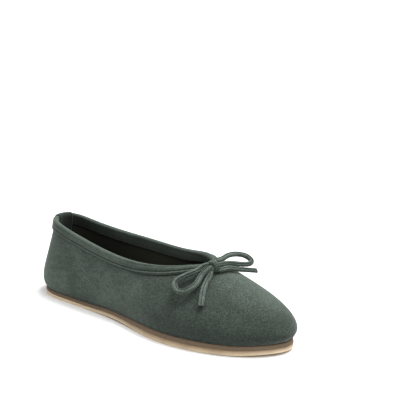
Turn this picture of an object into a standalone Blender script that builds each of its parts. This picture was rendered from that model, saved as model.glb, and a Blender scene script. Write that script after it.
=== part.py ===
"""A suede ballet flat for the right foot, built from the pieces that its maker joins.

The upper is one hollow wall, open at the collar and underneath. It stands on a brown midsole
and a tan outsole, and an insole lies inside it. A folded binding closes its rim, a tab covers
the binding's ends at the heel, and a lace is tied in a bow at the throat.

The toe points along +X and the outer side of the foot is -Y. The sole stands on z = 0, under
the middle of the shoe. All sizes are in metres.
"""

import math
from typing import NamedTuple

import bmesh
import bpy
import numpy as np
from mathutils import Matrix, Vector
from mathutils.bvhtree import BVHTree

# The last and the upper
LENGTH = 0.2426
BALL_WIDTH = 0.0810
HEEL_WIDTH = 0.0530
COLLAR_WIDTH = 0.0535
BACK_HEIGHT = 0.0635
SIDE_HEIGHT = 0.0492
THROAT_HEIGHT = 0.0545
BULGE = 0.0120
WALL = 0.0016
MARGIN = 0.0090

# The sole's layers
TREAD = 0.0044
MIDSOLE = 0.0030
INSOLE = 0.0022
OVERHANG = 0.0008
LEDGE = 0.0004
BEVEL = 0.0010
TOE_SPRING = 0.0020
ARCH_RISE = 0.0012

# The binding folded over the rim, and the heel tab
BINDING = 0.0009
BINDING_OUTSIDE = 0.0068
BINDING_INSIDE = 0.0074
BINDING_RISE = 0.0016
BINDING_PUFF = 0.0005
TAB_HALF = 0.0090
TAB_EXTRA = 0.0007
TAB_INSIDE = 0.0260
TAB_SIDE = 0.0105

# The lace and its bow
LACE = 0.0034
KNOT_RADIUS = 0.0032
KNOT_TURNS = 1.25
BOW_AHEAD = 0.0100
BOW_ASIDE = -0.0050
BOW_REACH = 0.0360

# Clearance between pieces that touch
GAP = 0.0003

# Fineness
ROUND = 84
WALL_ROWS = 11
RIM_POINTS = 76
TAB_POINTS = 9


class Station(NamedTuple):
    """A place round the shoe: its edge on the sole, its rim and the wall between them."""

    name: str
    along: float  # the edge, share of LENGTH
    across: float  # the edge, share of half of the width it follows
    follows: float  # that width
    rim_along: float  # the rim, share of LENGTH
    rim_across: float  # the rim, share of half of COLLAR_WIDTH
    back: float  # share of the rise from SIDE_HEIGHT to BACK_HEIGHT
    throat: float  # share of the rise from SIDE_HEIGHT to THROAT_HEIGHT
    bulge: float  # the wall's lower handle, outwards, share of BULGE
    low: float  # the lower handle's height, share of the wall's height
    out: float  # the upper handle, share of the way from the rim out to the edge
    drop: float  # the upper handle's depth, share of the wall's height


STATIONS = [
    Station("heel_back", 0.000, 0.00, HEEL_WIDTH, 0.035, 0.00, 1.00, 0.00, 0.75, 0.10, 0.69, 0.50),
    Station("heel_corner_out", 0.028, -0.63, HEEL_WIDTH, 0.053, -0.49, 0.97, 0.00, 0.75, 0.10, 0.65, 0.50),
    Station("heel_side_out", 0.103, -0.97, HEEL_WIDTH, 0.126, -0.80, 0.82, 0.00, 0.60, 0.20, 0.45, 0.45),
    Station("heel_front_out", 0.225, -1.03, HEEL_WIDTH, 0.247, -0.91, 0.44, 0.10, 0.45, 0.32, 0.30, 0.40),
    Station("waist_out", 0.397, -0.75, BALL_WIDTH, 0.376, -0.97, 0.11, 0.20, 0.38, 0.40, 0.26, 0.40),
    Station("midfoot_out", 0.538, -0.92, BALL_WIDTH, 0.499, -0.94, 0.00, 0.25, 0.40, 0.44, 0.30, 0.34),
    Station("ball_out", 0.660, -1.03, BALL_WIDTH, 0.602, -0.74, 0.00, 0.55, 0.45, 0.44, 0.40, 0.26),
    Station("toe_side_out", 0.791, -0.93, BALL_WIDTH, 0.664, -0.42, 0.00, 0.90, 0.65, 0.38, 0.47, 0.22),
    Station("toe_corner_out", 0.905, -0.63, BALL_WIDTH, 0.692, -0.16, 0.00, 1.00, 1.00, 0.31, 0.50, 0.21),
    Station("toe_round_out", 0.974, -0.25, BALL_WIDTH, 0.700, 0.00, 0.00, 1.00, 1.35, 0.29, 0.52, 0.21),
    Station("toe_tip", 1.000, 0.14, BALL_WIDTH, 0.702, 0.12, 0.00, 1.00, 1.45, 0.28, 0.55, 0.21),
    Station("toe_round_in", 0.974, 0.48, BALL_WIDTH, 0.699, 0.26, 0.00, 1.00, 1.40, 0.29, 0.56, 0.21),
    Station("toe_corner_in", 0.907, 0.75, BALL_WIDTH, 0.688, 0.42, 0.00, 1.00, 1.15, 0.32, 0.56, 0.21),
    Station("toe_side_in", 0.822, 0.91, BALL_WIDTH, 0.660, 0.62, 0.00, 1.00, 0.80, 0.38, 0.53, 0.22),
    Station("ball_in", 0.700, 0.95, BALL_WIDTH, 0.602, 0.86, 0.00, 0.85, 0.45, 0.44, 0.40, 0.26),
    Station("midfoot_in", 0.548, 0.75, BALL_WIDTH, 0.499, 0.99, 0.00, 0.30, 0.40, 0.44, 0.30, 0.34),
    Station("waist_in", 0.397, 0.56, BALL_WIDTH, 0.375, 0.97, 0.12, 0.10, 0.42, 0.40, 0.26, 0.40),
    Station("heel_front_in", 0.225, 0.93, HEEL_WIDTH, 0.243, 0.89, 0.27, 0.00, 0.48, 0.32, 0.30, 0.40),
    Station("heel_side_in", 0.103, 0.96, HEEL_WIDTH, 0.124, 0.78, 0.47, 0.00, 0.60, 0.20, 0.45, 0.45),
    Station("heel_corner_in", 0.028, 0.63, HEEL_WIDTH, 0.052, 0.50, 0.82, 0.00, 0.75, 0.10, 0.65, 0.50),
]
STATION_NAMES = [row.name for row in STATIONS]
TOE = float(STATION_NAMES.index("toe_tip"))
THROAT = float(STATION_NAMES.index("toe_round_out"))


class SoleRow(NamedTuple):
    """The sole's layers at one place along the shoe."""

    along: float  # share of LENGTH
    spring: float  # lift off the floor, share of TOE_SPRING
    arch: float  # lift off the floor, share of ARCH_RISE
    tread: float  # the outsole, share of TREAD
    midsole: float  # the midsole, share of MIDSOLE


SOLE_ROWS = [
    SoleRow(0.00, 0.2, 0.0, 0.60, 0.72),
    SoleRow(0.05, 0.0, 0.0, 0.61, 0.72),
    SoleRow(0.25, 0.0, 0.0, 0.61, 0.72),
    SoleRow(0.42, 0.0, 1.0, 0.68, 0.76),
    SoleRow(0.60, 0.0, 0.0, 1.00, 1.04),
    SoleRow(0.76, 0.0, 0.0, 1.00, 1.04),
    SoleRow(0.88, 0.2, 0.0, 0.92, 1.00),
    SoleRow(1.00, 1.0, 0.0, 0.82, 1.00),
]


class LacePoint(NamedTuple):
    """A point on the lace's middle line, from the knot's middle, in shares of BOW_REACH."""

    ahead: float
    aside: float
    above: float


class Strand(NamedTuple):
    """Where a strand leaves the knot, from the knot's middle, in shares of LACE."""

    ahead: float
    above: float


LOOP_OUTER = [
    LacePoint(-0.161, -0.214, -0.033),
    LacePoint(-0.228, -0.396, -0.098),
    LacePoint(-0.341, -0.526, -0.168),
    LacePoint(-0.406, -0.636, -0.226),
    LacePoint(-0.411, -0.731, -0.304),
    LacePoint(-0.296, -0.811, -0.375),
    LacePoint(-0.161, -0.799, -0.398),
    LacePoint(-0.037, -0.708, -0.346),
    LacePoint(0.007, -0.538, -0.257),
    LacePoint(-0.046, -0.309, -0.131),
]
LOOP_INNER = [
    LacePoint(-0.045, 0.300, 0.081),
    LacePoint(-0.048, 0.494, 0.111),
    LacePoint(-0.008, 0.714, 0.107),
    LacePoint(0.077, 0.889, 0.058),
    LacePoint(0.165, 0.963, -0.008),
    LacePoint(0.226, 0.950, -0.063),
    LacePoint(0.236, 0.839, -0.087),
    LacePoint(0.172, 0.643, -0.059),
    LacePoint(0.096, 0.465, -0.018),
    LacePoint(0.042, 0.281, 0.003),
]
END_OUTER = [
    LacePoint(0.065, -0.209, -0.177),
    LacePoint(0.109, -0.362, -0.271),
    LacePoint(0.183, -0.523, -0.388),
    LacePoint(0.259, -0.645, -0.501),
    LacePoint(0.335, -0.752, -0.608),
]
END_INNER = [
    LacePoint(0.135, 0.319, -0.081),
    LacePoint(0.194, 0.555, -0.144),
    LacePoint(0.254, 0.794, -0.203),
    LacePoint(0.311, 1.023, -0.258),
]


class Side(NamedTuple):
    """One side of the bow: where its strands leave the knot, and their routes."""

    word: str
    sign: float  # -1 on the outer side, 1 on the inner side
    beside: float  # the strands' starts, past the end of the wraps, share of LACE
    back: Strand  # the loop's first strand
    front: Strand  # the loop's last strand
    tail: Strand  # the loose end
    loop: list[LacePoint]
    end: list[LacePoint]


SIDES = [
    Side(
        "outer", -1.0, 0.60, Strand(-0.95, 0.50), Strand(0.10, 0.12), Strand(0.45, -0.95), LOOP_OUTER, END_OUTER
    ),
    Side(
        "inner", 1.0, 0.13, Strand(-0.45, 0.95), Strand(0.35, 0.15), Strand(0.85, -0.85), LOOP_INNER, END_INNER
    ),
]


class Finish(NamedTuple):
    """A plain colour and roughness."""

    red: float
    green: float
    blue: float
    roughness: float


FINISHES = {
    "upper": Finish(0.070, 0.087, 0.074, 0.95),
    "topline_binding": Finish(0.080, 0.098, 0.084, 0.95),
    "heel_tab": Finish(0.060, 0.075, 0.064, 0.95),
    "midsole": Finish(0.140, 0.090, 0.055, 0.85),
    "outsole": Finish(0.480, 0.330, 0.190, 0.55),
    "insole": Finish(0.030, 0.028, 0.022, 0.80),
    "bow_knot": Finish(0.095, 0.112, 0.098, 0.95),
    "bow_loop_outer": Finish(0.095, 0.112, 0.098, 0.95),
    "bow_loop_inner": Finish(0.095, 0.112, 0.098, 0.95),
    "bow_end_outer": Finish(0.095, 0.112, 0.098, 0.95),
    "bow_end_inner": Finish(0.095, 0.112, 0.098, 0.95),
}
LACE_PIECES = [name for name in FINISHES if name.startswith("bow_")]


def hermite(values: np.ndarray, slope: np.ndarray, first, second, part: np.ndarray) -> np.ndarray:
    """Points part of the way from one row to another."""
    t = part[:, None]
    near = (2 * t**3 - 3 * t**2 + 1) * values[first] + (t**3 - 2 * t**2 + t) * slope[first]
    return near + (3 * t**2 - 2 * t**3) * values[second] + (t**3 - t**2) * slope[second]


def closed_spline(values: np.ndarray, at: np.ndarray) -> np.ndarray:
    """The closed cubic through rows that stand at 0, 1, 2 and so on."""
    count = len(values)
    matrix = 4.0 * np.eye(count) + np.eye(count, k=1) + np.eye(count, k=-1)
    matrix[0, -1] = 1.0
    matrix[-1, 0] = 1.0
    slope = np.linalg.solve(matrix, 3.0 * (np.roll(values, -1, axis=0) - np.roll(values, 1, axis=0)))
    at = np.asarray(at, float) % count
    first = np.floor(at).astype(int) % count
    return hermite(values, slope, first, (first + 1) % count, at - np.floor(at))


def open_spline(values: np.ndarray, at: np.ndarray) -> np.ndarray:
    """The cubic from the first row to the last, through rows at 0, 1, 2 and so on."""
    count = len(values)
    matrix = 4.0 * np.eye(count) + np.eye(count, k=1) + np.eye(count, k=-1)
    matrix[0, 0] = 2.0
    matrix[-1, -1] = 2.0
    after = values[np.minimum(np.arange(count) + 1, count - 1)]
    before = values[np.maximum(np.arange(count) - 1, 0)]
    slope = np.linalg.solve(matrix, 3.0 * (after - before))
    first = np.minimum(np.floor(at).astype(int), count - 2)
    return hermite(values, slope, first, first + 1, at - first)


def travelled(points: np.ndarray) -> np.ndarray:
    """The distance covered at each point of a line."""
    steps = np.linalg.norm(np.diff(points, axis=0), axis=1)
    return np.concatenate([[0.0], np.cumsum(steps)])


def unit(vectors: np.ndarray) -> np.ndarray:
    """The same vectors, each of length one."""
    return vectors / np.linalg.norm(vectors, axis=-1, keepdims=True)


def along_sole(x: np.ndarray, heights: list[float]) -> np.ndarray:
    """A height given for each row of the sole, easing from row to row and level between equals."""
    places = np.array([row.along * LENGTH for row in SOLE_ROWS])
    levels = np.array(heights)
    x = np.clip(x, places[0], places[-1])
    row = np.clip(np.searchsorted(places, x, side="right") - 1, 0, len(places) - 2)
    t = (x - places[row]) / (places[row + 1] - places[row])
    return levels[row] + (levels[row + 1] - levels[row]) * t * t * (3 - 2 * t)


def tread_under(x: np.ndarray) -> np.ndarray:
    """Height of the outsole's underside."""
    return along_sole(x, [row.spring * TOE_SPRING + row.arch * ARCH_RISE for row in SOLE_ROWS])


def tread_top(x: np.ndarray) -> np.ndarray:
    """Height of the outsole's upper face."""
    return tread_under(x) + along_sole(x, [row.tread * TREAD for row in SOLE_ROWS])


def midsole_under(x: np.ndarray) -> np.ndarray:
    """Height of the midsole's underside."""
    return tread_top(x) + GAP


def midsole_top(x: np.ndarray) -> np.ndarray:
    """Height of the midsole's upper face."""
    return midsole_under(x) + along_sole(x, [row.midsole * MIDSOLE for row in SOLE_ROWS])


def upper_under(x: np.ndarray) -> np.ndarray:
    """Height of the upper's underside."""
    return midsole_top(x) + GAP


def insole_under(x: np.ndarray) -> np.ndarray:
    """Height of the insole's underside, over the upper's turned-in margin."""
    return upper_under(x) + WALL + GAP


class Sections(NamedTuple):
    """The last's outside at places round the shoe."""

    edge: np.ndarray
    outwards: np.ndarray
    rim: np.ndarray
    low: np.ndarray
    high: np.ndarray


def sections(at: np.ndarray) -> Sections:
    """Edges, rims and wall handles at places round the shoe."""
    plan = np.array([[row.along * LENGTH, row.across * row.follows / 2] for row in STATIONS])
    edge = closed_spline(plan, at)
    run = unit(closed_spline(plan, at + 1e-3) - closed_spline(plan, at - 1e-3))
    outwards = np.column_stack([run[:, 1], -run[:, 0], np.zeros(len(run))])
    edge = np.column_stack([edge, upper_under(edge[:, 0])])
    back_rise = BACK_HEIGHT - SIDE_HEIGHT
    throat_rise = THROAT_HEIGHT - SIDE_HEIGHT
    rims = [
        [
            row.rim_along * LENGTH,
            row.rim_across * COLLAR_WIDTH / 2,
            SIDE_HEIGHT - BINDING_RISE + row.back * back_rise + row.throat * throat_rise,
        ]
        for row in STATIONS
    ]
    rim = closed_spline(np.array(rims), at)
    shares = closed_spline(np.array([[row.bulge, row.low, row.out, row.drop] for row in STATIONS]), at)
    bulge, low, out, drop = (shares[:, [k]] for k in range(4))
    up = np.array([[0.0, 0.0, 1.0]])
    height = (rim - edge)[:, [2]]
    level = (edge - rim) * np.array([[1.0, 1.0, 0.0]])
    lower = edge + outwards * bulge * BULGE + up * low * height
    higher = rim + level * out - up * drop * height
    return Sections(edge, outwards, rim, lower, higher)


def wall(at: np.ndarray, share: np.ndarray) -> np.ndarray:
    """Points of the wall's outer face, from the edge on the sole (0) up to the rim (1)."""
    found = sections(at)
    edge, low, high, rim = (p[:, None, :] for p in (found.edge, found.low, found.high, found.rim))
    t = share[None, :, None]
    return (1 - t) ** 3 * edge + 3 * t * (1 - t) ** 2 * low + 3 * t**2 * (1 - t) * high + t**3 * rim


class Skin(NamedTuple):
    """Points on the wall's outer face, with what faces outwards and what leads uphill."""

    points: np.ndarray
    outwards: np.ndarray
    uphill: np.ndarray


def below_rim(at: np.ndarray, depths: np.ndarray) -> Skin:
    """The wall's outer face at depths below its rim, in one row or in a row for each place."""
    depths = np.broadcast_to(depths, (len(at), depths.shape[-1]))
    fine = np.linspace(0.0, 1.0, 121)
    here = wall(at, fine)
    climb = unit(np.gradient(here, axis=1))
    facing = unit(np.cross(wall(at + 1e-3, fine) - wall(at - 1e-3, fine), climb))
    found = np.zeros((3, len(at), depths.shape[1], 3))
    for i in range(len(at)):
        run = travelled(here[i])
        wanted = run[-1] - depths[i]
        for kind, values in enumerate((here[i], facing[i], climb[i])):
            for axis in range(3):
                found[kind, i, :, axis] = np.interp(wanted, run, values[:, axis])
    return Skin(found[0], unit(found[1]), unit(found[2]))


def round_places() -> np.ndarray:
    """Even places round the sole, as many on the outer side as on the inner side."""
    sides = []
    for start, end in ((0.0, TOE), (TOE, float(len(STATIONS)))):
        fine = np.linspace(start, end, 800)
        run = travelled(sections(fine).edge)
        sides.append(np.interp(np.linspace(0.0, run[-1], ROUND // 2 + 1), run, fine)[:-1])
    return np.concatenate(sides)


def rim_places(start: float, end: float, count: int) -> np.ndarray:
    """Even places along the rim between two distances from the heel's back."""
    turn = float(len(STATIONS))
    fine = np.linspace(-turn, 2 * turn, 6001)
    run = travelled(sections(fine).rim)
    run -= run[2000]
    total = run[4000]
    return np.interp(np.linspace(start, end if end > start else end + total, count), run, fine)


def cap(work: bmesh.types.BMesh, row: list) -> None:
    """Closes a ring with strips, from one side to the other."""
    for i in range(len(row) // 2):
        corners = [row[i], row[i + 1], row[-i - 1], row[-i]]
        work.faces.new([corner for k, corner in enumerate(corners) if corner not in corners[:k]])


def loft(name: str, rings: list[np.ndarray], closed: bool, capped: bool) -> bpy.types.Object:
    """Joins rings of equal count, low to high, and closes a capped stack at both ends."""
    work = bmesh.new()
    rows = [[work.verts.new(Vector(point)) for point in ring] for ring in rings]
    count = len(rows[0])
    for low, high in zip(rows, rows[1:]):
        for i in range(count if closed else count - 1):
            j = (i + 1) % count
            work.faces.new((low[i], low[j], high[j], high[i]))
    if capped:
        cap(work, rows[0][:1] + rows[0][:0:-1])
        cap(work, rows[-1])
    mesh = bpy.data.meshes.new(name)
    work.to_mesh(mesh)
    work.free()
    return bpy.data.objects.new(name, mesh)


def thicken(made: bpy.types.Object, thickness: float) -> None:
    """Gives a surface its wall, on the side away from what it faces."""
    shell = made.modifiers.new("Wall", "SOLIDIFY")
    shell.thickness = thickness
    shell.offset = -1.0
    shell.use_even_offset = True


def sole_ring(at: np.ndarray, outset: float, height) -> np.ndarray:
    """A ring round the sole, outset from the upper's edge, at a height for each place."""
    found = sections(at)
    points = found.edge + found.outwards * outset
    points[:, 2] = height(points[:, 0])
    return points


def make_outsole(at: np.ndarray) -> bpy.types.Object:
    """The tan outsole, with its bevelled edge, its arch and its toe spring."""
    side = OVERHANG + LEDGE
    rings = [
        sole_ring(at, side - BEVEL, tread_under),
        sole_ring(at, side - BEVEL * 0.3, lambda x: 0.55 * tread_under(x) + 0.45 * tread_top(x)),
        sole_ring(at, side, tread_top),
    ]
    return loft("outsole", rings, closed=True, capped=True)


def make_midsole(at: np.ndarray) -> bpy.types.Object:
    """The brown midsole, whose edge shows between the outsole and the upper."""
    rings = [
        sole_ring(at, OVERHANG * 0.6, midsole_under),
        sole_ring(at, OVERHANG, lambda x: 0.5 * midsole_under(x) + 0.5 * midsole_top(x)),
        sole_ring(at, OVERHANG * 0.7, midsole_top),
    ]
    return loft("midsole", rings, closed=True, capped=True)


def make_insole(at: np.ndarray) -> bpy.types.Object:
    """The insole, which lies on the upper's turned-in margin."""
    inset = WALL + 2 * GAP
    rings = [
        sole_ring(at, -inset, insole_under),
        sole_ring(at, -inset, lambda x: insole_under(x) + INSOLE),
    ]
    return loft("insole", rings, closed=True, capped=True)


def make_upper(at: np.ndarray) -> bpy.types.Object:
    """The one hollow wall, from its turned-in margin round the heel, sides and toe to the rim."""
    face = wall(at, np.linspace(0.0, 1.0, WALL_ROWS) ** 1.15)
    rings = [sole_ring(at, -MARGIN, upper_under)]
    rings += [face[:, k] for k in range(WALL_ROWS)]
    made = loft("upper", rings, closed=True, capped=False)
    thicken(made, WALL)
    return made


def fold_over(name: str, at: np.ndarray, inside: np.ndarray, extra: float, puff: float) -> bpy.types.Object:
    """A strip folded over the rim, with a leg outside, an arch above and a leg inside."""
    thickness = BINDING + extra
    stand_off = GAP + thickness
    outer_depths = BINDING_OUTSIDE * np.array([1.0, 0.7, 0.3])
    outer = below_rim(at, outer_depths)
    inner = below_rim(at, inside[:, None] * np.array([0.3, 0.7, 1.0]))
    crest = below_rim(at, np.array([0.0]))
    proud = stand_off + puff * np.sin(math.pi * outer_depths / BINDING_OUTSIDE)
    lines = [outer.points + outer.outwards * proud[None, :, None]]
    for angle in np.linspace(0.0, math.pi, 5):
        reach = math.cos(angle) * (WALL / 2 + stand_off) - WALL / 2
        rise = math.sin(angle) * (BINDING_RISE + extra)
        lines.append(crest.points + crest.outwards * reach + crest.uphill * rise)
    lines.append(inner.points - inner.outwards * (WALL + stand_off))
    line = np.concatenate(lines, axis=1)
    made = loft(name, [line[:, k] for k in range(line.shape[1])], closed=False, capped=False)
    thicken(made, thickness)
    return made


def make_binding() -> bpy.types.Object:
    """The binding, from one side of the heel tab round the throat to the other side."""
    start = TAB_HALF + GAP
    at = rim_places(start, -start, RIM_POINTS)
    return fold_over("topline_binding", at, np.full(len(at), BINDING_INSIDE), 0.0, BINDING_PUFF)


def make_heel_tab() -> bpy.types.Object:
    """The tab over the heel's rim, whose inner leg is a heel grip with a rounded foot."""
    at = rim_places(-TAB_HALF, TAB_HALF, TAB_POINTS)
    aside = np.linspace(-1.0, 1.0, TAB_POINTS)
    inside = TAB_SIDE + (TAB_INSIDE - TAB_SIDE) * np.sqrt(1 - aside**2)
    return fold_over("heel_tab", at, inside, TAB_EXTRA, 0.0)


class Ground:
    """What the lace lies on: the outsides of some pieces."""

    def __init__(self, pieces: list[bpy.types.Object]) -> None:
        """Reads the pieces as they stand in the scene."""
        bpy.context.view_layer.update()
        graph = bpy.context.evaluated_depsgraph_get()
        self.trees = [BVHTree.FromObject(piece, graph) for piece in pieces]

    def rise(self, point: np.ndarray, clearance: float) -> float:
        """How far a point must rise to stand clear of the pieces by a distance."""
        risen = 0.0
        for _ in range(20):
            here = Vector(point) + Vector((0.0, 0.0, risen))
            lack = clearance - min(self.distance(tree, here) for tree in self.trees)
            if lack < 1e-6:
                break
            risen += lack
        return risen

    def fall(self, points: np.ndarray, clearance: float) -> float:
        """How far points above the pieces can sink together and keep a distance from them."""
        fallen = 0.0
        for _ in range(200):
            here = [Vector(point) - Vector((0.0, 0.0, fallen)) for point in points]
            spare = min(tree.find_nearest(point)[3] for tree in self.trees for point in here) - clearance
            if spare < 1e-6:
                break
            fallen += spare
        return fallen

    @staticmethod
    def distance(tree: BVHTree, point: Vector) -> float:
        """The distance to one piece, negative within it."""
        place, normal, _, distance = tree.find_nearest(point)
        return math.copysign(distance, (point - place).dot(normal))


def cord(name: str, points: np.ndarray) -> bpy.types.Object:
    """A round tube along a line, closed at both ends."""
    curve = bpy.data.curves.new(name, "CURVE")
    curve.dimensions = "3D"
    curve.bevel_depth = LACE / 2
    curve.bevel_resolution = 2
    curve.use_fill_caps = True
    line = curve.splines.new("POLY")
    line.points.add(len(points) - 1)
    for place, point in zip(line.points, points):
        place.co = (*point, 1.0)
    return bpy.data.objects.new(name, curve)


class Bow:
    """The lace tied at the throat: a knot of wraps, two loops and two ends."""

    def __init__(self, ground: Ground) -> None:
        """Sets the knot down on the binding, ahead of the rim's throat."""
        self.ground = ground
        self.half = KNOT_TURNS * (LACE + GAP) / 2
        rim = sections(np.array([THROAT])).rim[0]
        above = rim + np.array([BOW_AHEAD, BOW_ASIDE, 2 * (KNOT_RADIUS + LACE)])
        fall = ground.fall(above + self.wraps(), LACE / 2 + GAP)
        self.middle = above - np.array([0.0, 0.0, fall])

    def wraps(self) -> np.ndarray:
        """The middle line of the wraps, from the knot's middle."""
        angle = np.linspace(0.0, 2 * math.pi * KNOT_TURNS, int(14 * KNOT_TURNS) + 1) - math.pi / 2
        ahead = -KNOT_RADIUS * np.cos(angle)
        aside = np.linspace(-self.half, self.half, len(angle))
        above = KNOT_RADIUS * np.sin(angle)
        return np.column_stack([ahead, aside, above])

    def leave(self, where: Strand, side: Side) -> np.ndarray:
        """The place where a strand leaves the knot, on one side of the bow."""
        aside = side.sign * (self.half + side.beside * LACE)
        return self.middle + np.array([where.ahead * LACE, aside, where.above * LACE])

    def run(self, name: str, start: np.ndarray, route: list[LacePoint], end: list) -> bpy.types.Object:
        """A strand through its route, lifted wherever it would touch the shoe."""
        through = np.array([start, *(self.middle + np.array(point) * BOW_REACH for point in route), *end])
        fine = open_spline(through, np.linspace(0.0, len(through) - 1.0, 60 * len(through)))
        run = travelled(fine)
        even = np.linspace(0.0, run[-1], max(8, round(run[-1] / (1.2 * LACE))) + 1)
        points = np.column_stack([np.interp(even, run, fine[:, axis]) for axis in range(3)])
        for point in points:
            point[2] += self.ground.rise(point, LACE / 2 + GAP)
        return cord(name, points)

    def pieces(self) -> list[bpy.types.Object]:
        """All five pieces of the lace."""
        made = [cord("bow_knot", self.middle + self.wraps())]
        for side in SIDES:
            back = self.leave(side.back, side)
            front = self.leave(side.front, side)
            tail = self.leave(side.tail, side)
            made.append(self.run(f"bow_loop_{side.word}", back, side.loop, [front]))
            made.append(self.run(f"bow_end_{side.word}", tail, side.end, []))
        return made


def paint(piece: bpy.types.Object) -> None:
    """Gives a piece its own plain material."""
    finish = FINISHES[piece.name]
    material = bpy.data.materials.new(f"{piece.name}_finish")
    material.use_nodes = True
    shader = material.node_tree.nodes["Principled BSDF"]
    shader.inputs["Base Color"].default_value = (finish.red, finish.green, finish.blue, 1.0)
    shader.inputs["Roughness"].default_value = finish.roughness
    piece.data.materials.append(material)


def settle(pieces: list[bpy.types.Object]) -> None:
    """Moves the shoe so that its middle, without the lace, stands over the origin."""
    bpy.context.view_layer.update()
    graph = bpy.context.evaluated_depsgraph_get()
    corners = [
        Vector(corner)
        for piece in pieces
        if piece.name not in LACE_PIECES
        for corner in piece.evaluated_get(graph).bound_box
    ]
    lows = [min(corner[axis] for corner in corners) for axis in range(3)]
    highs = [max(corner[axis] for corner in corners) for axis in range(3)]
    shift = Vector(((lows[0] + highs[0]) / -2, (lows[1] + highs[1]) / -2, -lows[2]))
    for piece in pieces:
        piece.data.transform(Matrix.Translation(shift))


def main() -> None:
    """Builds the shoe in an empty scene."""
    for old in list(bpy.data.objects):
        bpy.data.objects.remove(old)
    shelf = bpy.data.collections.new("ballet_flat")
    bpy.context.scene.collection.children.link(shelf)
    at = round_places()
    shoe = [
        make_outsole(at),
        make_midsole(at),
        make_upper(at),
        make_insole(at),
        make_binding(),
        make_heel_tab(),
    ]
    for piece in shoe:
        shelf.objects.link(piece)
        piece.data.shade_smooth()
    bow = Bow(Ground([piece for piece in shoe if piece.name in ("upper", "topline_binding")])).pieces()
    for piece in bow:
        shelf.objects.link(piece)
    for piece in shoe + bow:
        paint(piece)
    settle(shoe + bow)


main()
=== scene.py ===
"""The looks of a suede ballet flat for the right foot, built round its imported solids.

The upper, binding, heel tab, sole layers and lace are modelled again from the same named sizes
as their solids, finely enough for creases, seams, puffs and stitches, and each replaces its
node. The toe points along +X, the outer side of the foot is -Y and the floor is z = 0.
"""

import logging
import math
from dataclasses import dataclass, field
from enum import Enum
from typing import Callable, NamedTuple, Sequence

import bmesh
import bpy
import numpy as np
from mathutils import Matrix, Vector, noise
from mathutils.bvhtree import BVHTree


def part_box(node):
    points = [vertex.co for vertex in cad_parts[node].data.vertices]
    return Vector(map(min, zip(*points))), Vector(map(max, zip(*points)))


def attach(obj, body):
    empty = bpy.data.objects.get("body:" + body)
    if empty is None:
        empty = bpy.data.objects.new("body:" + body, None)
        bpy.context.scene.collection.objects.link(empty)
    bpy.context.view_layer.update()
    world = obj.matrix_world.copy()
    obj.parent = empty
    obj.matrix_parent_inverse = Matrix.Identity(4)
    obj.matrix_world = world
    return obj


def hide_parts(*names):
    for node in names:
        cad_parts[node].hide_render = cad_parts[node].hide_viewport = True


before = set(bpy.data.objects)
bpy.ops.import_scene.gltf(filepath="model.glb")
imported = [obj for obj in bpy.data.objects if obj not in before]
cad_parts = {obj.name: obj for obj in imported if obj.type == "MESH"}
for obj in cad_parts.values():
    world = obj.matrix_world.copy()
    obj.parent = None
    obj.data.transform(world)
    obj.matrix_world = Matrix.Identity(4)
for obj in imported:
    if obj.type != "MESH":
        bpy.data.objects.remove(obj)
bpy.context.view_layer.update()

BODY = "root"
LOG = logging.getLogger("ballet_flat")

Array = np.ndarray
Colour = tuple[float, float, float]
Place = tuple[float, float, float]
Material = bpy.types.Material
Piece = bpy.types.Object


@dataclass(frozen=True)
class Sizes:
    """The shoe's named sizes, in metres."""

    length: float = 0.2426
    ball_width: float = 0.0810
    heel_width: float = 0.0530
    collar_width: float = 0.0535
    back_height: float = 0.0635
    side_height: float = 0.0492
    throat_height: float = 0.0545
    bulge: float = 0.0120
    wall: float = 0.0016
    margin: float = 0.0090
    tread: float = 0.0044
    midsole: float = 0.0030
    insole: float = 0.0022
    overhang: float = 0.0008
    ledge: float = 0.0004
    bevel: float = 0.0010
    toe_spring: float = 0.0020
    arch_rise: float = 0.0012
    binding: float = 0.0009
    binding_outside: float = 0.0068
    binding_inside: float = 0.0074
    binding_rise: float = 0.0016
    seam_depth: float = 0.0044
    tab_half: float = 0.0090
    tab_extra: float = 0.0007
    tab_inside: float = 0.0260
    tab_side: float = 0.0105
    lace: float = 0.0034
    knot_radius: float = 0.0032
    knot_turns: float = 1.25
    bow_ahead: float = 0.0100
    bow_aside: float = -0.0050
    bow_reach: float = 0.0360
    gap: float = 0.0003


class Station(NamedTuple):
    """A place round the shoe: its edge on the sole, its rim and the wall between them."""

    along: float
    across: float
    ball: bool
    rim_along: float
    rim_across: float
    back: float
    throat: float
    bulge: float
    low: float
    out: float
    drop: float


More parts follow.
